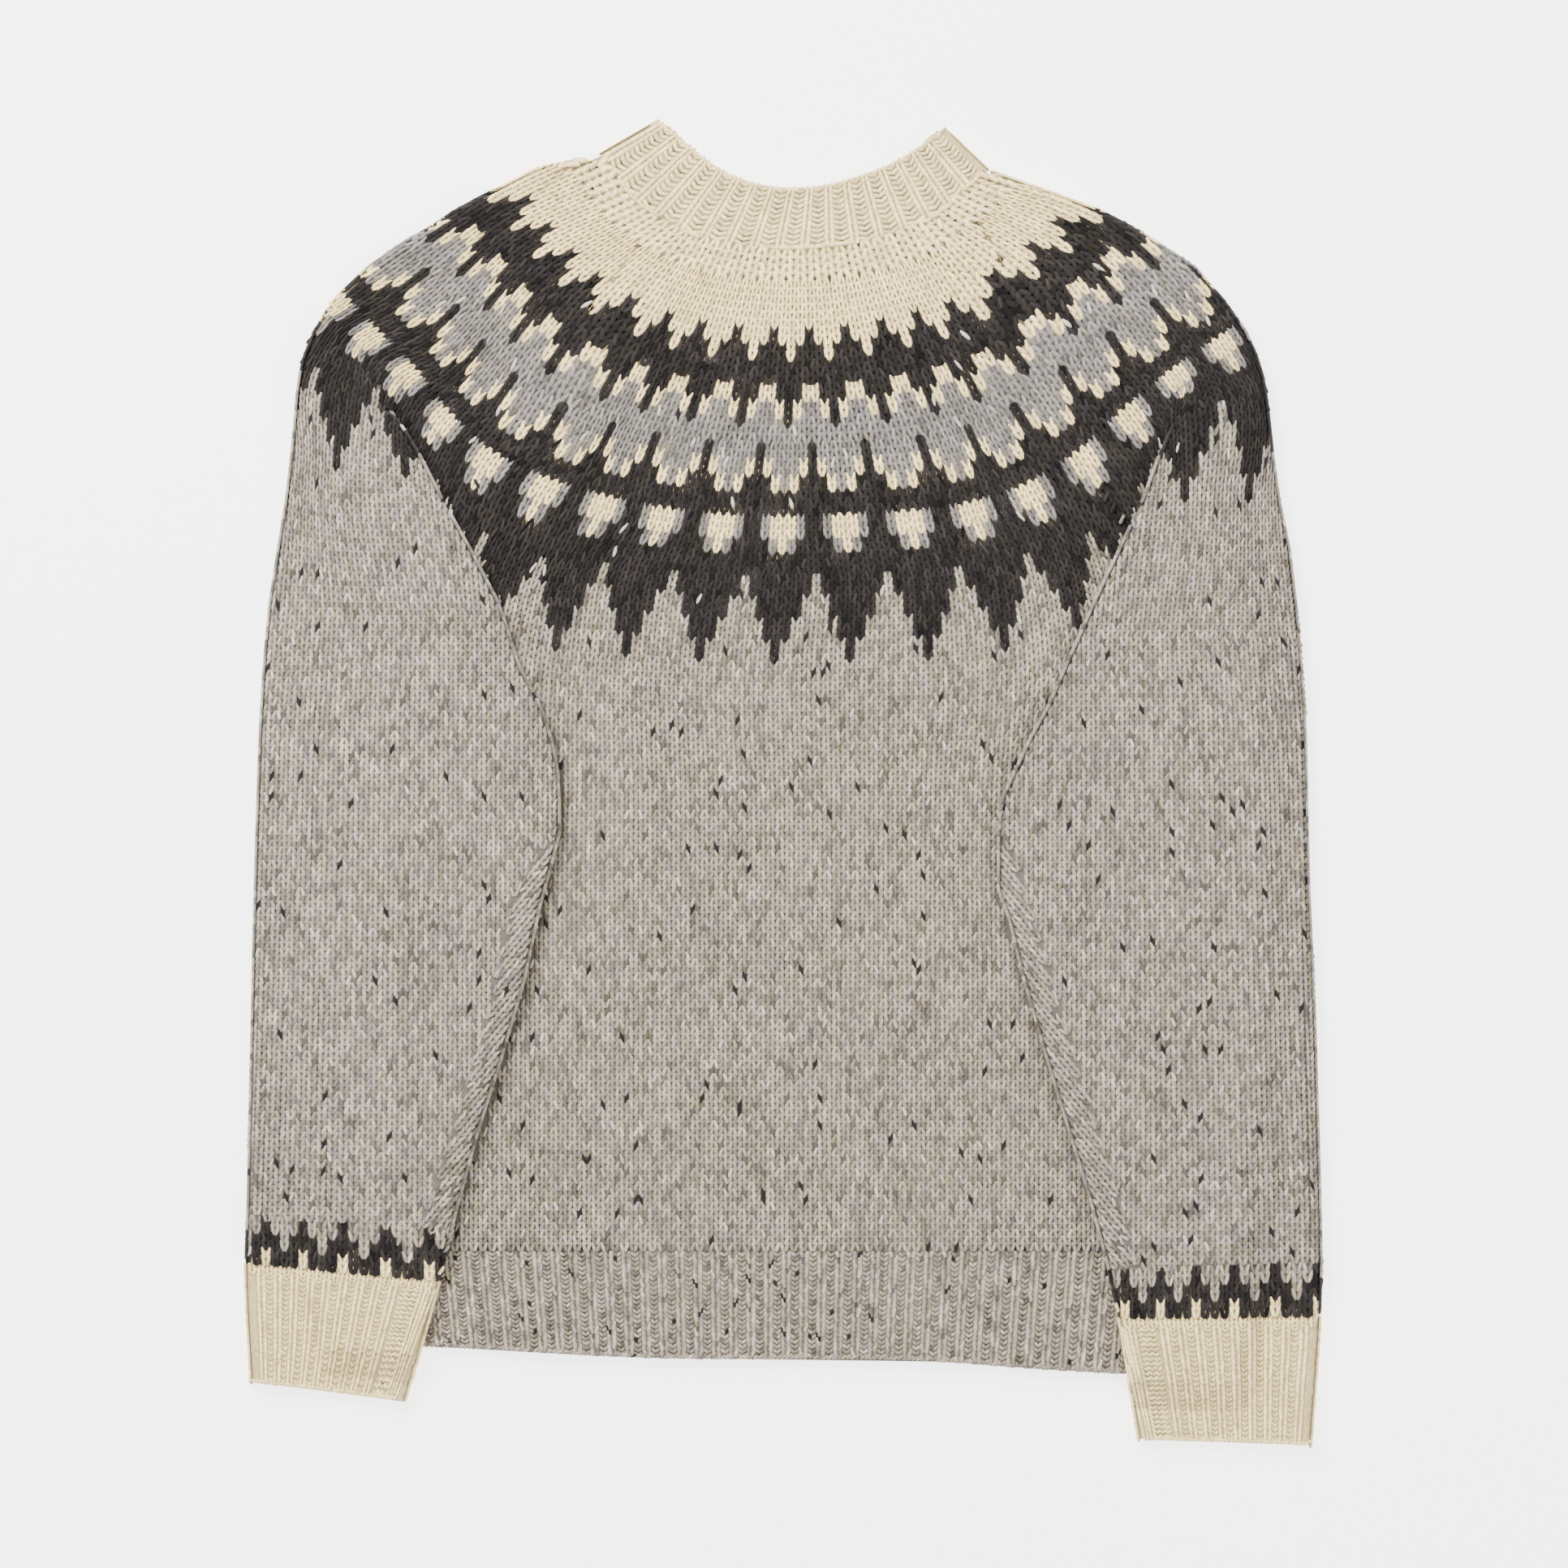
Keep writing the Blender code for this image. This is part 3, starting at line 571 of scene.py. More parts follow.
def cast(points, below):
    """Where rays meet the cloth: places, normals and the index of the piece, or -1."""
    start = -CAST_FROM if below else CAST_FROM
    direction = UP if below else DOWN
    places, normals = np.zeros((len(points), 3)), np.zeros((len(points), 3))
    who = np.full(len(points), -1)
    for i, (x, y) in enumerate(points):
        hit, normal, face, _ = tree.ray_cast(Vector((x * MM, y * MM, start)), direction)
        if hit is not None:
            places[i], normals[i], who[i] = hit, normal, owner[face]
    return places, normals, who


def settle(points, across, below, on_edges):
    """As cast, with nudges and soft turns. With on_edges a strand may hang over an edge."""
    places, normals, who = cast(points, below)
    unit = across / np.linalg.norm(across, axis=1)[:, None]
    for aside in NUDGES:
        missed = (who < 0) | (np.abs(normals[:, 2]) < LEAST_FACING)
        places[missed], normals[missed], who[missed] = cast(points[missed] + aside * unit[missed], below)
    who[np.abs(normals[:, 2]) < LEAST_FACING] = -1
    turned = normals.copy()
    for aside in (-SOFTENING, SOFTENING):
        beside, lean, other = cast(points + aside * unit, below)
        step = np.abs(beside[:, 2] - places[:, 2])
        level = (other >= 0) & (step < SOFTENING * MM)
        turned[level] += lean[level]
        if not on_edges:
            who[(other < 0) | (step >= 2 * SOFTENING * MM)] = -1
    return places, turned / np.maximum(np.linalg.norm(turned, axis=1), 1e-9)[:, None], who


def on_slope(flat, normals):
    """Plan vectors (mm) as vectors in metres that lie in the cloth."""
    rise = -(normals[:, 0] * flat[:, 0] + normals[:, 1] * flat[:, 1]) / normals[:, 2]
    return np.column_stack((flat, rise)) * MM


tried = cast([(0.0, 0.0)], below=False)[0][0]
print(f"the cloth's top at the middle: {tried[2] / MM:.1f} mm")

# %% [markdown]
# ## Many copies in one mesh
#
# The copies of a strand differ only in place, direction and height, so arrays make all their corners
# at once. A strand has painted shade at its rims and a painted highlight along its crest, and each copy
# has a square of the UV map to itself.

# %% Copies
# Painted shade and highlight: a strand's colour is darkened at its rims and lightened along its crest, as
# light falls on a round strand.
RIM_PAINTED_SHADE, CREST_PAINTED_HIGHLIGHT = 0.50, 1.2
RIM_GAIN, RIM_LOSS = 1.1, 0.4  # a pale yarn gets deeper painted shade at its rims, against its own colour
LEAST_HEIGHT = 0.05 * MM
UV_REACH = 0.42  # half of the part of its square that a copy covers
strands = {}  # every batch of copies, by node and the end of the joined mesh's name


def add_copies(key, template, centres, along, across, lift, colours):
    strands.setdefault(key, []).append((template, centres, along, across, lift, colours))


def place(template, points, along, across, height, colours, group, below=False, tilt=0.0):
    """Lays copies on the cloth at plan points, with half sizes in the plan (mm)."""
    places, normals, who = settle(points, across, below, on_edges=template is not SHADE_BED)
    for index, node in enumerate(cloths):
        mine = who == index
        name = group(node)
        if mine.any() and name is not None:
            normal = normals[mine]
            run = on_slope(along[mine], normal) + normal * tilt * MM
            side = on_slope(across[mine], normal)
            add_copies((node, name), template, places[mine], run, side, normal * height * MM, colours[mine])


def paint(mesh, colours):
    """Writes a linear colour on each corner, where the wool reads it."""
    rgba = np.column_stack((colours, np.ones(len(colours))))
    layer = mesh.attributes.new("yarn", "FLOAT_COLOR", "POINT")
    layer.data.foreach_set("color", rgba.astype(np.float32).ravel())


def joined(key, name):
    """One mesh from all batches of a key."""
    points, colours, uvs, sizes, indices = [], [], [], [], []
    start = cell = 0
    cells = math.ceil(math.sqrt(sum(len(batch[1]) for batch in strands[key])))
    for (corner, faces), centres, along, across, lift, colour in strands[key]:
        n, m = len(centres), len(corner)
        copies = (
            centres[:, None] + corner[None, :, 0, None] * along[:, None]
            + corner[None, :, 1, None] * across[:, None] + corner[None, :, 2, None] * lift[:, None]
        )
        copies[..., 2] = np.maximum(copies[..., 2], LEAST_HEIGHT)
        points.append(copies.reshape(-1, 3))
        # painted shading: each strand darker at its rims and lighter at its crest; beds keep their colour
        shade = np.ones((n, m))
        if m > len(SHADE_BED[0]):
            rim = RIM_PAINTED_SHADE * (RIM_GAIN - RIM_LOSS * colour.mean(1))[:, None]
            shade = rim + (CREST_PAINTED_HIGHLIGHT - rim) * corner[None, :, 2]
        colours.append((colour[:, None] * shade[..., None]).reshape(-1, 3))
        number = cell + np.arange(n)
        home = np.column_stack((number % cells, number // cells))
        corner_uv = (home[:, None] + corner[None, :, :2] * UV_REACH + 0.5) / cells
        face_corners = np.concatenate(faces)
        uvs.append(corner_uv[:, face_corners].reshape(-1, 2))
        indices.append((face_corners[None] + (start + m * np.arange(n))[:, None]).ravel())
        sizes.append(np.tile([len(face) for face in faces], n))
        start += n * m
        cell += n
    mesh = bpy.data.meshes.new(name)
    mesh.vertices.add(start)
    mesh.vertices.foreach_set("co", np.concatenate(points).ravel())
    mesh.loops.add(sum(len(batch) for batch in indices))
    mesh.loops.foreach_set("vertex_index", np.concatenate(indices))
    starts = np.cumsum(np.concatenate([[0]] + sizes))[:-1]
    mesh.polygons.add(len(starts))
    mesh.polygons.foreach_set("loop_start", starts)
    mesh.update(calc_edges=True)
    paint(mesh, np.concatenate(colours))
    uv_map = mesh.uv_layers.new(name="OFBake")
    uv_map.data.foreach_set("uv", np.concatenate(uvs).astype(np.float32).ravel())
    mesh.shade_smooth()
    mesh.materials.append(wool)
    made = bpy.data.objects.new(name, mesh)
    bpy.context.scene.collection.objects.link(made)
    return made


print("a strand's rim and crest:", RIM_PAINTED_SHADE, CREST_PAINTED_HIGHLIGHT, "of its colour")

# %% [markdown]
# ## Stocking stitch
#
# Every stitch is a V of two legs that lean apart, and the tip of each leg is tucked under the next row.
# A flat bed of painted shade lies under each stitch, for the shadow in the gaps between the legs.

# %% Stitches
LEG_SPREAD = 0.25  # a leg's middle lies this far from the wale's middle, in wales
LEG_WIDTH = 0.215  # half its width
LEG_LEAN = 0.15  # its ends lie this far from its middle
LEG_REACH = 0.82  # half its length in rows
LEG_RISE = 1.3  # mm
LEG_TILT = 0.25  # its lower end is this much higher (mm)
UNDER_RISE = 0.85 * LOOP_RISE / MM
# sizes of the bed, a flat sheet of painted shade under each stitch
BED_REACH, BED_WIDTH, BED_RISE = 0.55, 0.5, 0.12
laid = []  # place and yarn of every stitch seen from above


def knit(field, grid, keep, group, below=False):
    """Lays a V and a bed for each stitch of a grid that keep allows."""
    phase, row, share, code = grid.T
    code = code.astype(int)
    centre = field(phase, row)
    chosen = keep(centre, row)
    phase, row, share, code, centre = (a[chosen] for a in (phase, row, share, code, centre))
    if not below:
        laid.append(np.column_stack((centre, code)))
    down = field(phase, row + 0.5) - field(phase, row - 0.5)
    wide = field(phase + share / 2, row) - field(phase - share / 2, row)
    # a bed of painted shade under each stitch, for the shadow between the legs
    place(SHADE_BED, centre, down * BED_REACH, wide * BED_WIDTH, BED_RISE, gap_painted_shade_colours(code), group, below)
    template, height = (PLAIN, UNDER_RISE) if below else (FINE, LEG_RISE)
    for side in (-1, 1):
        colours = strand_colours(code)
        middle = centre + side * LEG_SPREAD * wide
        along = LEG_REACH * down - side * LEG_LEAN * wide
        place(template, middle, along, LEG_WIDTH * wide, height, colours, group, below, LEG_TILT)


def everywhere(place, row):
    return np.full(len(row), True)


def on(endings, name):
    """Keeps what lies on nodes with these endings."""
    return lambda node: name if node.endswith(endings) else None


def on_any(node):
    return "loops" if node.endswith(("panel", "sleeve")) else "ribs"


print(f"a stitch on the body: {WALE} x {ROW_HEIGHT} mm, {LEG_RISE} mm high")

# %% [markdown]
# ## Fold lines
#
# Both folds of each sleeve are measured from the neck down to the cuff. The sleeves' own rows begin at
# the inner ones. Behind a sleeve's lower inner fold its other edge shows, where the wales lean away.
# The coloured band above each cuff has rows of its own.

# %% Folds and bands
SHIFT = np.array((0.3, -1.9))  # mm, from the measured middle to the frame's origin
INNER_LINE = {
    # distance from the middle, y
    "left": ((240, 258), (216, 210), (197, 180), (182, 151), (169, 128), (152, 95), (142, 64), (129, 38),
        (121, 7), (120, -23), (129, -58), (144, -125), (158, -172), (179, -240), (204, -333)),
    "right": ((236, 258), (211, 206), (194, 156), (172, 110), (152, 65), (133, 26), (115, -25), (115, -58),
        (129, -107), (150, -176), (170, -240), (191, -352)),
}
OUTER_LINE = {
    "left": ((127, 334), (152, 322), (176, 310), (194, 298), (212, 288), (229, 275), (241, 264),
        (253, 246), (259, 233), (263, 213), (265, 190), (269, 153), (278, 95), (283, 29), (286, -58),
        (288, -146), (290, -233), (291, -256)),
    "right": ((114, 329), (144, 319), (171, 309), (194, 297), (216, 285), (232, 267), (244, 254), (254, 236),
        (260, 217), (267, 160), (274, 125), (279, 77), (282, 35), (284, -49), (287, -117), (290, -215),
        (291, -260), (290, -285)),
}
BAND_ROWS = {
    # the band's first and last row in the frame's plan
    "left": (
        (0, ((0, -279, -235.3), (1, -258.9, -236.5), (2, -237, -238.0), (3, -213.9, -240.0),
        (4, -190.2, -241.5))),
        (6, ((0, -279, -260.8), (1, -258.9, -262.5), (2, -237, -264.2), (3, -213.9, -266.2),
        (4, -190.2, -268.0))),
    ),
    "right": (
        (0, ((0, 203.1, -262.5), (1, 222.3, -261.5), (2, 242.9, -261.0), (3, 265.6, -260.5),
        (4, 288.8, -260))),
        (6, ((0, 203.1, -288.5), (1, 222.3, -288.5), (2, 242.9, -288.5), (3, 265.6, -288.5),
        (4, 288.8, -288.5))),
    ),
}
BAND_TOP = {"left": -241.5, "right": -262.5}  # at its inner end
YOKE_SHARED = 36  # down to this row the back and the sleeves have one set of curves
LEAN_FROM, LEAN_GROWTH, LEAN_WIDTH = -28.0, 45.0, 15.0  # mm
LEAN_ANGLE = 40  # degrees
LEAN_START = (150.0, -140.0)  # distance from the middle, y
SEAM_GAP = 1.0


def past_inner_line(side, place):
    """How far (mm) outside a sleeve's inner fold a place lies."""
    s, y = np.array(INNER_LINE[side][::-1], float).T
    return SIDES[side] * (place[:, 0] - SHIFT[0]) - np.interp(place[:, 1] - SHIFT[1], y, s)


def lean_width(y):
    """Width (mm) of the strip between a lower sleeve's inner fold and its seam."""
    share = ((LEAN_FROM - y) / LEAN_GROWTH).clip(0.0, 1.0)
    return np.where(share > 0, LEAN_WIDTH * share * (2 - share), -SEAM_GAP)


def kept_on_back(place, row):
    inside = (past_inner_line("left", place) < 0) & (past_inner_line("right", place) < 0)
    return inside | (row < YOKE_SHARED)


def kept_on_sleeve(side, below):
    band_x, band_y = zip(*sorted((x, y) for _, x, y in BAND_ROWS[side][0][1]))

    def keep(place, row):
        above_band = place[:, 1] > np.interp(place[:, 0], band_x, band_y)
        past_seam = past_inner_line(side, place) >= lean_width(place[:, 1]) + SEAM_GAP
        return (past_seam | below) & (row >= YOKE_SHARED) & above_band

    return keep


def knit_lean_strip(side):
    """The sleeve's other edge, whose wales lean away from the fold."""
    sign = SIDES[side]
    angle = math.radians(LEAN_ANGLE)
    down = np.array((sign * math.sin(angle), -math.cos(angle))) * ROW_HEIGHT
    wide = np.array((math.cos(angle), sign * math.sin(angle))) * WALE
    phase, row = (a.ravel().astype(float) for a in np.meshgrid(np.arange(-40, 41), np.arange(-60, 61)))
    grid = np.column_stack((phase, row, np.ones(len(row)), all_of("sleeve_marl", len(row))))

    def field(phase, row):
        return np.array((sign * LEAN_START[0], LEAN_START[1])) + phase[:, None] * wide + row[:, None] * down

    def keep(place, row):
        past = past_inner_line(side, place)
        return (past > 0) & (past < lean_width(place[:, 1])) & (place[:, 1] > BAND_TOP[side])

    knit(field, grid, keep, on(side + "_sleeve", "loops"))


widest = lean_width(np.array([-200.0]))[0]
print(f"the leaning strips are up to {widest:.0f} mm wide")

# %% [markdown]
# ## Rows of the ribs
#
# The rows of the neckband, the hem and the cuffs run between measured edges, and their phase counts
# ribs. Near a cuff's inner fold the ribs give way to purl loops and two smooth wales.

# %% Rib rows
NECK_TOP = ((-66, 357), (-49, 343), (-36, 333), (-21, 326), (-2, 322), (11, 322), (26, 324), (43, 329),
            (60, 336), (73, 344), (85, 353))
NECK_SEAM = ((-97, 339), (-78, 314), (-67, 307), (-49, 297), (-33, 293), (-9, 289), (9, 289), (31, 291),
             (51, 295), (68, 301), (82, 307), (95, 319), (108, 331))
HEM_TOP = ((-244, -252.3), (0, -252.3), (247, -252.3))
HEM_EDGE = ((-237, -302), (-197, -303), (-81, -309), (94, -312), (133, -315), (184, -318), (239, -321))
CUFF_LINES = {
    # outer end's y, how far the inner end falls, distances of both folds from the middle (mm)
    "left": ((-258, 9, 185, 291), (-284, 6, 191.6, 289.8), (-301, 3.5, 195.8, 289), (-314, 8, 200.8, 288.4),
             (-322, 11, 204, 288)),
    "right": ((-287, 0, 180, 290), (-306, -1, 183, 289), (-322, -2, 185.6, 287.5), (-338, -2, 188.3, 286.4),
              (-356, -3, 191, 285)),
}
RIB_ROW = 2.75
NECK_RIBS, NECK_ROWS = 17, 12
HEM_RIBS, HEM_ROWS = 51, 22
CUFF_RIBS, CUFF_ROWS = 9, {"left": 23, "right": 25}
CUFF_TURN = 4.3
CUFF_RIBS_FROM = 18.8  # the even ribs start this far from the inner fold


def along_edge(points, total):
    """An edge's places with a phase that grows with its length, from 0 to a total."""
    points = np.array(points, float) + SHIFT
    steps = np.hypot(*np.diff(points, axis=0).T)
    phase = np.concatenate(([0], np.cumsum(steps))) / steps.sum() * total
    return np.column_stack((phase, points))


def between(first_edge, last_edge, ribs, rows):
    return through(((0, along_edge(first_edge, ribs)), (rows, along_edge(last_edge, ribs))))


def cuff_field(side):
    top = CUFF_LINES[side][0][0]

    def at(phase, row):
        lines = []
        for y, fall, inner, outer in CUFF_LINES[side]:
            start, end = inner + CUFF_RIBS_FROM, outer - CUFF_TURN
            s = start + phase * (end - start) / CUFF_RIBS
            x = SIDES[side] * s + SHIFT[0]
            lines.append(np.column_stack((x, y - fall * (outer - s) / (outer - inner) + SHIFT[1])))
        return spline([(top - line[0]) / RIB_ROW for line in CUFF_LINES[side]], np.array(lines), row)

    return at


neck_at = between(NECK_TOP, NECK_SEAM, NECK_RIBS, NECK_ROWS)
hem_at = between(HEM_TOP, HEM_EDGE, HEM_RIBS, HEM_ROWS)
cuff_at = {side: cuff_field(side) for side in SIDES}
print("ribs: neck", NECK_RIBS, "hem", HEM_RIBS, "cuffs", CUFF_RIBS, "and a flat part")

# %% [markdown]
# ## Ribs and chains
#
# A knit rib is two smooth strands, one tucked under the next. Between two ribs purl loops lie across,
# like small smiles, a little darker with painted shade, as they lie deep between the ribs. Where a knitter
# casts off or picks stitches up, a chain of slanted links shows.

# %% Ribs
KNIT_REACH = 1.2  # half the length of a rib's strands, in rows
KNIT_RISE, PURL_RISE = 1.3, 0.9  # mm
# painted shade on the purl loops, which lie deep between the ribs
PURL_PAINTED_SHADE = 0.90
RIB_TILT = 0.2
SEAM_BED, SEAM_BED_OFF = 1.0, 0.25  # the hem's first beds of painted shade reach over the seam above them, in rows


def rib(field, knit_phases, purl_phases, rows, widths, yarn, group, below=False):
    """Knit ribs and purl loops between two rows of a field."""
    for phases, width, is_knit in ((knit_phases, widths[0], True), (purl_phases, widths[1], False)):
        phase, row = (a.ravel() for a in np.meshgrid(phases, np.arange(*rows) + 0.5))
        codes = all_of(yarn, len(phase))
        centre = field(phase, row)
        down = field(phase, row + 0.5) - field(phase, row - 0.5)
        wide = (field(phase + 0.5, row) - field(phase - 0.5, row)) * width
        over_seam = (row < rows[0] + 1)[:, None] & (yarn == "marl")
        under = centre - np.where(over_seam, SEAM_BED_OFF, 0) * down
        reach = np.where(over_seam, SEAM_BED, BED_REACH)
        # a bed of painted shade under each stitch, for the shadow between the strands
        place(SHADE_BED, under, down * reach, wide * BED_WIDTH, BED_RISE, gap_painted_shade_colours(codes), group, below)
        for side in (-1, 1):
            colours = strand_colours(codes)
            middle = centre + side * 0.25 * wide
            if is_knit:
                to_edge = np.minimum(row - rows[0], rows[1] - row)[:, None]
                along = np.minimum(KNIT_REACH, to_edge + 0.3) * down - side * 0.08 * wide
                across, height = 0.225 * wide, KNIT_RISE
            else:
                along = side * 0.34 * wide - 0.30 * down
                across, height = 0.44 * down, PURL_RISE
                # purl loops darkened with painted shade
                colours = colours * PURL_PAINTED_SHADE
            template, height = (PLAIN, UNDER_RISE) if below else (FINE, height)
            place(template, middle, along, across, height, colours, group, below, RIB_TILT)


def chain(field, row, phases, slant, half_size, height, yarn, group):
    """Links along a row of a field, slanted by some degrees."""
    row = np.full(len(phases), float(row))
    step = phases[1] - phases[0]
    run = field(phases + step / 2, row) - field(phases - step / 2, row)
    run /= np.linalg.norm(run, axis=1)[:, None]
    turned = np.column_stack((-run[:, 1], run[:, 0]))
    angle = math.radians(slant)
    along = (run * math.cos(angle) + turned * math.sin(angle)) * half_size[0]
    across = (turned * math.cos(angle) - run * math.sin(angle)) * half_size[1]
    colours = strand_colours(all_of(yarn, len(row)))
    place(FINE, field(phases, row), along, across, height, colours, group)


print("a rib's row:", RIB_ROW, "mm")

# %% [markdown]
# ## Laying all stitches
#
# First come the ribs, the bands and the stitches seen from above, and then those from below in simpler
# strands. The underside is the front panel, so the back's rows run right across it.

# %% Stitches and ribs on the cloth
NECK_BAND = np.arange(NECK_RIBS) + 0.12
HEM_BAND = np.arange(HEM_RIBS) + 0.5
CUFF_BAND = np.arange(CUFF_RIBS) + 0.5
CUFF_KNIT, CUFF_PURL = (-1.33, -1.80), (-0.95, -0.57, -0.19)  # beside the inner fold
NECK_WIDTHS, EVEN_WIDTHS, FLAT_WIDTHS = (0.46, 0.54), (0.6, 0.4), (0.50, 0.40)
BACK_GRID = (-9.6, 9.4, body_yarns)
BACK_LAST = 140
SLEEVE_GRIDS = {"left": (168, -9.8, -4.6), "right": (176, 4.6, 9.6)}  # last row, phases
on_loops, on_panels, on_sleeves = (on(e, "loops") for e in (("panel", "sleeve"), "panel", "sleeve"))
on_neck = on("neckband", "ribs")


def lay_edges(below):
    """The hem, the cuffs and the bands above them."""
    hem = on("front_hem" if below else "back_hem", "ribs")
    rib(hem_at, HEM_BAND, HEM_BAND + 0.5, (0, HEM_ROWS), EVEN_WIDTHS, "marl", hem, below)
    for side, at in cuff_at.items():
        cuff = on(side + "_cuff", "ribs")
        rows = (2, CUFF_ROWS[side])
        rib(at, CUFF_BAND, CUFF_BAND[:-1] + 0.5, rows, EVEN_WIDTHS, "cream", cuff, below)
        rib(at, CUFF_KNIT, CUFF_PURL, rows, FLAT_WIDTHS, "cream", cuff, below)
        knit(at, chart_grid(0, 2, -1.6, 9.3, yarns_of(["cc"])), everywhere, cuff, below)
        band = chart_grid(0, len(cuff_rows), -1.4, 5.0, yarns_of(cuff_rows))
        knit(through(BAND_ROWS[side]), band, everywhere, on(side + "_sleeve", "loops"), below)


def lay_sleeves(below, group):
    for side, (last, low, high) in SLEEVE_GRIDS.items():
        grid = chart_grid(YOKE_SHARED, last, low, high, sleeve_yarns)
        knit(sleeve_at[side], grid, kept_on_sleeve(side, below), group, below)


rib(neck_at, NECK_BAND, NECK_BAND + 0.5, (0, NECK_ROWS), NECK_WIDTHS, "cream", on_neck)
lay_edges(below=False)
knit(back_at, chart_grid(0, BACK_LAST, *BACK_GRID), kept_on_back, on_loops)
lay_sleeves(below=False, group=on_loops)

lay_edges(below=True)
knit(back_at, chart_grid(0, BACK_LAST, *BACK_GRID), everywhere, on_panels, True)
knit(back_at, chart_grid(0, YOKE_SHARED, *BACK_GRID), everywhere, on_sleeves, True)
rib(neck_at, NECK_BAND, NECK_BAND + 0.5, (-1, NECK_ROWS + 9), NECK_WIDTHS, "cream", on_neck, True)
lay_sleeves(below=True, group=on_sleeves)
for side in SIDES:
    knit_lean_strip(side)
print("stitches seen from above:", sum(len(batch) for batch in laid), "in", len(laid), "fields")

# %% [markdown]
# ## Colours of the cloth itself
#
# Between two strands a little of the cloth shows. It is painted like the nearest stitch, only darker,
# with painted shade for the shadow between strands.

# %% Painted cloth
# Painted shade: how much darker the cloth between strands is than its stitch, for the shadow there.
GROUND_PAINTED_SHADE, CREAM_PAINTED_SHADE = 0.42, 0.6
SMOOTH_ANGLE = math.radians(50)
all_laid = np.concatenate(laid)
near = KDTree(len(all_laid))
for i, (x, y, _) in enumerate(all_laid):
    near.insert((x, y, 0.0), i)
near.balance()


def nearest_code(places):
    """The nearest stitch's yarn."""
    found = [near.find((x, y, 0.0))[1] for x, y in places]
    return all_laid[found, 2].astype(int)


def cream(places):
    return all_of("cream", len(places))


for node, piece in cloths.items():
    co = corners(piece.data)
    is_cream = "cuff" in node or "neck" in node
    codes = cream(co) if is_cream else nearest_code(co[:, :2] / MM)
    if "panel" in node or "hem" in node:
        codes[co[:, 1] < 0] = YARN_NAMES.index("marl")
    # painted shade: the cloth is darker than the nearest stitch, for the shadow between strands
    paint(piece.data, COLOURS[codes] * (CREAM_PAINTED_SHADE if is_cream else GROUND_PAINTED_SHADE))
    piece.data.materials.append(wool)
    select_only(piece)
    bpy.ops.object.shade_smooth_by_angle(angle=SMOOTH_ANGLE)
print("cloths painted:", len(cloths))

# %% [markdown]
# ## Wales round the folds
#
# At a fold, rays from above only graze the cloth. So one wale is wrapped round it: level rays find its
# outermost line, and the two legs lie above and below that.

# %% Folds and chains
PROBE_HEIGHTS = np.arange(1.0, 16.0, 1.4)  # mm
PROBE_FROM, PROBE_REACH = 25, 45  # mm
PROBE_SLACK = 0.35 * MM  # a place this much further in still wins if it is higher
FOLD_LEG_OFF = 1.5  # mm from the outermost line to each leg
FOLD_RADIUS = 4.3
FOLD_END = {"left": -262.0, "right": -285.0}  # y, where the inner folds' wales meet the cuffs
NECK_ENDS = (
    # both ends of the flattened neckband, and the side that each faces
    (((-96, 337), (-71, 351.5)), (-0.5, 0.8)),
    (((107, 329), (89, 347)), (0.7, 0.7)),
)
UPWARD = np.array((0.0, 0.0, 1.0))


def evenly(points, spacing):
    """Plan points at even spacing along an outline (mm)."""
    points = np.array(points, float)
    reach = np.concatenate(([0], np.cumsum(np.hypot(*np.diff(points, axis=0).T))))
    places = np.arange(0, reach[-1], spacing)
    return np.column_stack([np.interp(places, reach, points[:, k]) for k in (0, 1)])


def outermost(node, point, out):
    """Where the fold is met furthest out by level rays from outside."""
    best, best_reach = None, None
    for height in PROBE_HEIGHTS:
        x, y = point + PROBE_FROM * out
        start = Vector((x * MM, y * MM, height * MM))
        hit = node_trees[node].ray_cast(start, Vector((-out[0], -out[1], 0)), PROBE_REACH * MM)[0]
        if hit is not None:
            reached = hit.x * out[0] + hit.y * out[1]
            if best is None or reached > best_reach - PROBE_SLACK:
                best, best_reach = hit, reached
    return best


def fold_wale(key, edge, spacing, outward, codes_at, wide=1.35, reach=3.1, rise=1.1):
    """Wraps a wale round a fold that bulges to a side of the plan."""
    points = evenly(edge, spacing)
    run = np.gradient(points, axis=0)
    run /= np.linalg.norm(run, axis=1)[:, None]
    turned = np.column_stack((-run[:, 1], run[:, 0]))
    out = turned * np.sign(turned @ np.array(outward, float))[:, None]
    hits = [outermost(key[0], point, aside) for point, aside in zip(points, out)]
    met = np.array([hit is not None for hit in hits])
    places = np.array([hit for hit in hits if hit is not None])
    run3, out3 = (np.column_stack((flat[met], np.zeros(met.sum()))) for flat in (run, out))
    codes = codes_at(places[:, :2] / MM - 6 * out[met])
    sag = FOLD_LEG_OFF**2 / (2 * FOLD_RADIUS)
    turn = FOLD_LEG_OFF / FOLD_RADIUS
    for side in (-1, 1):
        centre = places + (side * FOLD_LEG_OFF * UPWARD - sag * out3) * MM
        lift = (out3 + side * turn * UPWARD) * rise * MM
        across = (UPWARD - side * turn * out3) * MM
        along = (-run3 * reach + side * UPWARD * 0.5) * MM
        add_copies(key, FINE, centre, along, across * wide, lift, strand_colours(codes))
        # a bed of painted shade under the legs, for the shadow round the fold
        under = centre - 0.1 * MM * out3
        add_copies(key, SHADE_BED, under, -run3 * 2.1 * MM, across * 1.6, lift * 0.05, gap_painted_shade_colours(codes))


def in_plan(side, line):
    """Places (distance from the middle, y) in the plan."""
    return [(SIDES[side] * s + SHIFT[0], y + SHIFT[1]) for s, y in line]


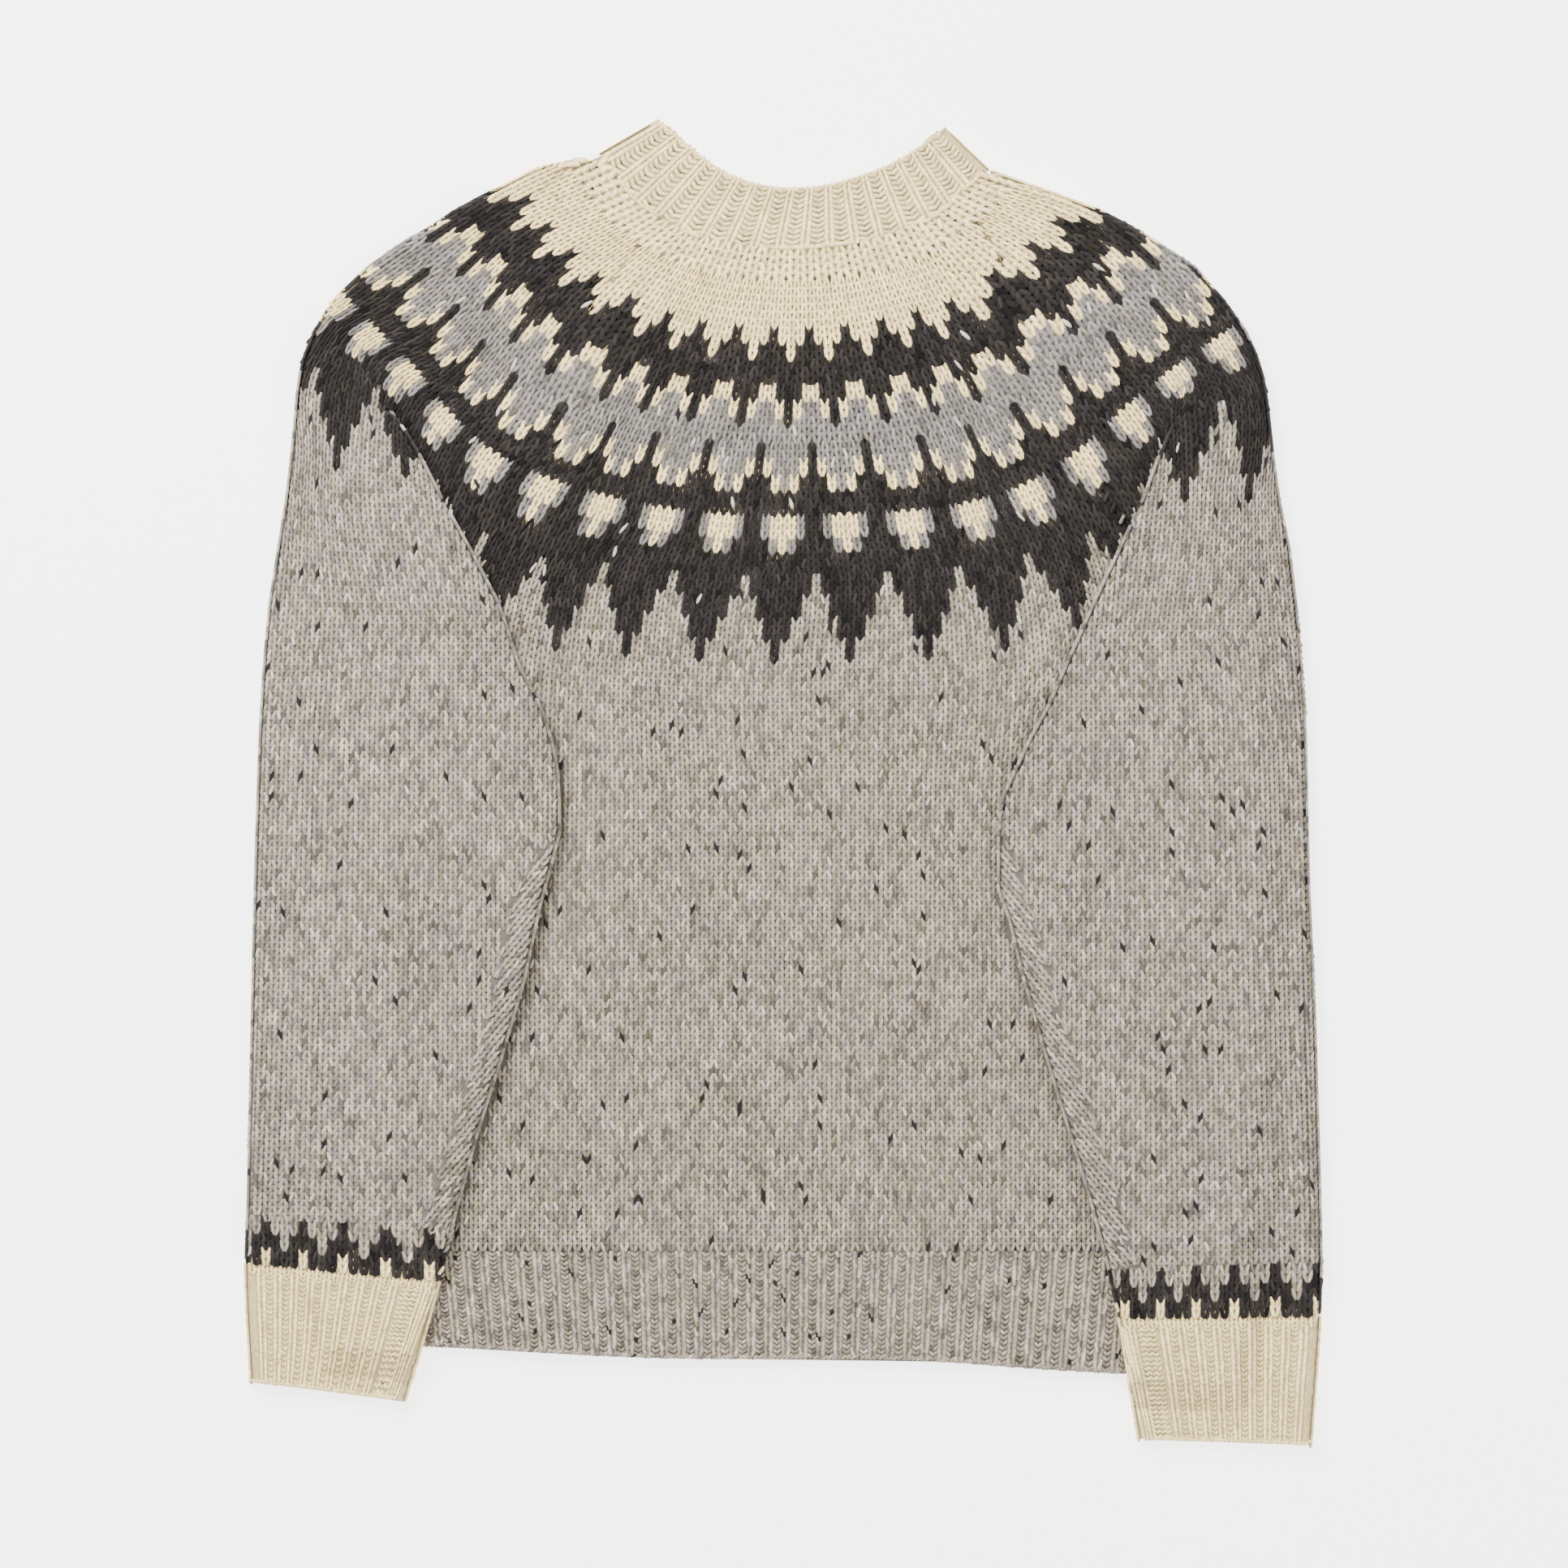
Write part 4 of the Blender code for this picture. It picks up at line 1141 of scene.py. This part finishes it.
for side, sign in SIDES.items():
    sleeve, cuff = (side + "_sleeve", "loops"), (side + "_cuff", "ribs")
    fold_wale(sleeve, in_plan(side, OUTER_LINE[side]), ROW_HEIGHT, (sign, 0.3), nearest_code)
    inner = in_plan(side, INNER_LINE[side])
    inner = inner[1:-1] + [((inner[-1][0] + inner[-2][0]) / 2, FOLD_END[side])]
    fold_wale(sleeve, inner, ROW_HEIGHT, (-sign, 0.3), nearest_code)
    ends = CUFF_LINES[side][0], CUFF_LINES[side][-1]
    fold_wale(cuff, in_plan(side, [(end[3], end[0]) for end in ends]), RIB_ROW, (sign, 0), cream)
    fold_wale(cuff, in_plan(side, [(end[2], end[0] - end[1]) for end in ends]), RIB_ROW, (-sign, 0), cream)
for edge, outward in NECK_ENDS:
    fold_wale(("neckband", "ribs"), edge, RIB_ROW, outward, cream, wide=1.6, reach=2.0, rise=0.35)

PICKED_UP, BOUND, CAST_OFF = (3.3, 1.15), (2.6, 0.8), (2.0, 0.95)  # half sizes of links in mm
chain(neck_at, NECK_ROWS + 0.05, np.linspace(0.1, NECK_RIBS - 0.1, 76), -14, PICKED_UP, 2.6, "cream", on_any)
chain(neck_at, 0.2, np.linspace(0.0, NECK_RIBS, 76), 8, BOUND, 1.5, "cream", on_any)
hem_links = np.linspace(0, HEM_RIBS, 190)
chain(hem_at, HEM_ROWS - 0.3, hem_links, 28, CAST_OFF, 1.6, "marl", on("back_hem", "ribs"))
for side, last in (("left", 23.0), ("right", 24.9)):
    cuff_links = np.linspace(-1.7, 9.4, 42)
    chain(cuff_at[side], last, cuff_links, 28, CAST_OFF, 1.6, "cream", on(side + "_cuff", "ribs"))
print("strands and beds:", sum(len(batch[1]) for batches in strands.values() for batch in batches))

# %% [markdown]
# ## Joined meshes
#
# Every piece of the garment gets one mesh of its strands.

# %% Joined loops
stitches = {node: [] for node in NODES}
for node, name in strands:
    stitches[node].append(joined((node, name), f"{node}_{name}"))
for node, knitted in stitches.items():
    print(node, [f"{piece.name}: {len(piece.data.polygons)} faces" for piece in knitted])

# %% [markdown]
# ## Putting the pieces in place
#
# Every cloth and its loops ride on the garment's one rigid body, and stand for the solid that they
# cover.

# %% Pieces on the frame
for node in NODES:
    loops = stitches[node]
    for piece in [cloths[node]] + loops:
        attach(piece, "root")
        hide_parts(node)
print("pieces on the frame:", sum(1 + len(loops) for loops in stitches.values()))

# %% [markdown]
# ## Floor, light and camera
#
# The garment is shown on a plain pale floor under broad soft lamps, from straight above, as it would
# be laid out for a catalogue.

# %% Stage
bpy.ops.mesh.primitive_plane_add(size=12, location=(0, 0, 0))
floor = bpy.context.object
floor.name = "floor"
pale = plain_material("pale floor", (0.86, 0.86, 0.86), 0.9)
pale_shader = pale.node_tree.nodes["Principled BSDF"]
pale_shader.inputs["Emission Color"].default_value = (1.0, 1.0, 1.0, 1.0)
pale_shader.inputs["Emission Strength"].default_value = 3.0
floor.data.materials.append(pale)

world = bpy.data.worlds.new("studio")
bpy.context.scene.world = world
world.use_nodes = True
background = world.node_tree.nodes["Background"]
background.inputs["Color"].default_value = (1.0, 1.0, 1.0, 1.0)
background.inputs["Strength"].default_value = 1.1
LAMPS = (
    # name, x, y, z, size, watts
    ("key", -0.9, 1.3, 1.6, 1.2, 105.0),
    ("fill", 1.4, -0.6, 1.8, 1.6, 30.0),
)
for name, x, y, z, size, watts in LAMPS:
    bpy.ops.object.light_add(type="AREA", location=(x, y, z))
    lamp = bpy.context.object
    lamp.name = name
    lamp.data.size = size
    lamp.data.energy = watts
    lamp.rotation_euler = (-Vector((x, y, z))).to_track_quat("-Z", "Y").to_euler()

CAMERA_HEIGHT = 2.4
VIEW_WIDTH = 1932 * 0.4375 * MM  # the picture's pixels at their size on the garment
TOP_LEVEL = 10 * MM
bpy.ops.object.camera_add(location=(0.5 * MM, -1.7 * MM, CAMERA_HEIGHT), rotation=(0, 0, 0))
camera = bpy.context.object
camera.data.lens = camera.data.sensor_width * (CAMERA_HEIGHT - TOP_LEVEL) / VIEW_WIDTH
bpy.context.scene.camera = camera
print(f"lens: {camera.data.lens:.1f} mm")
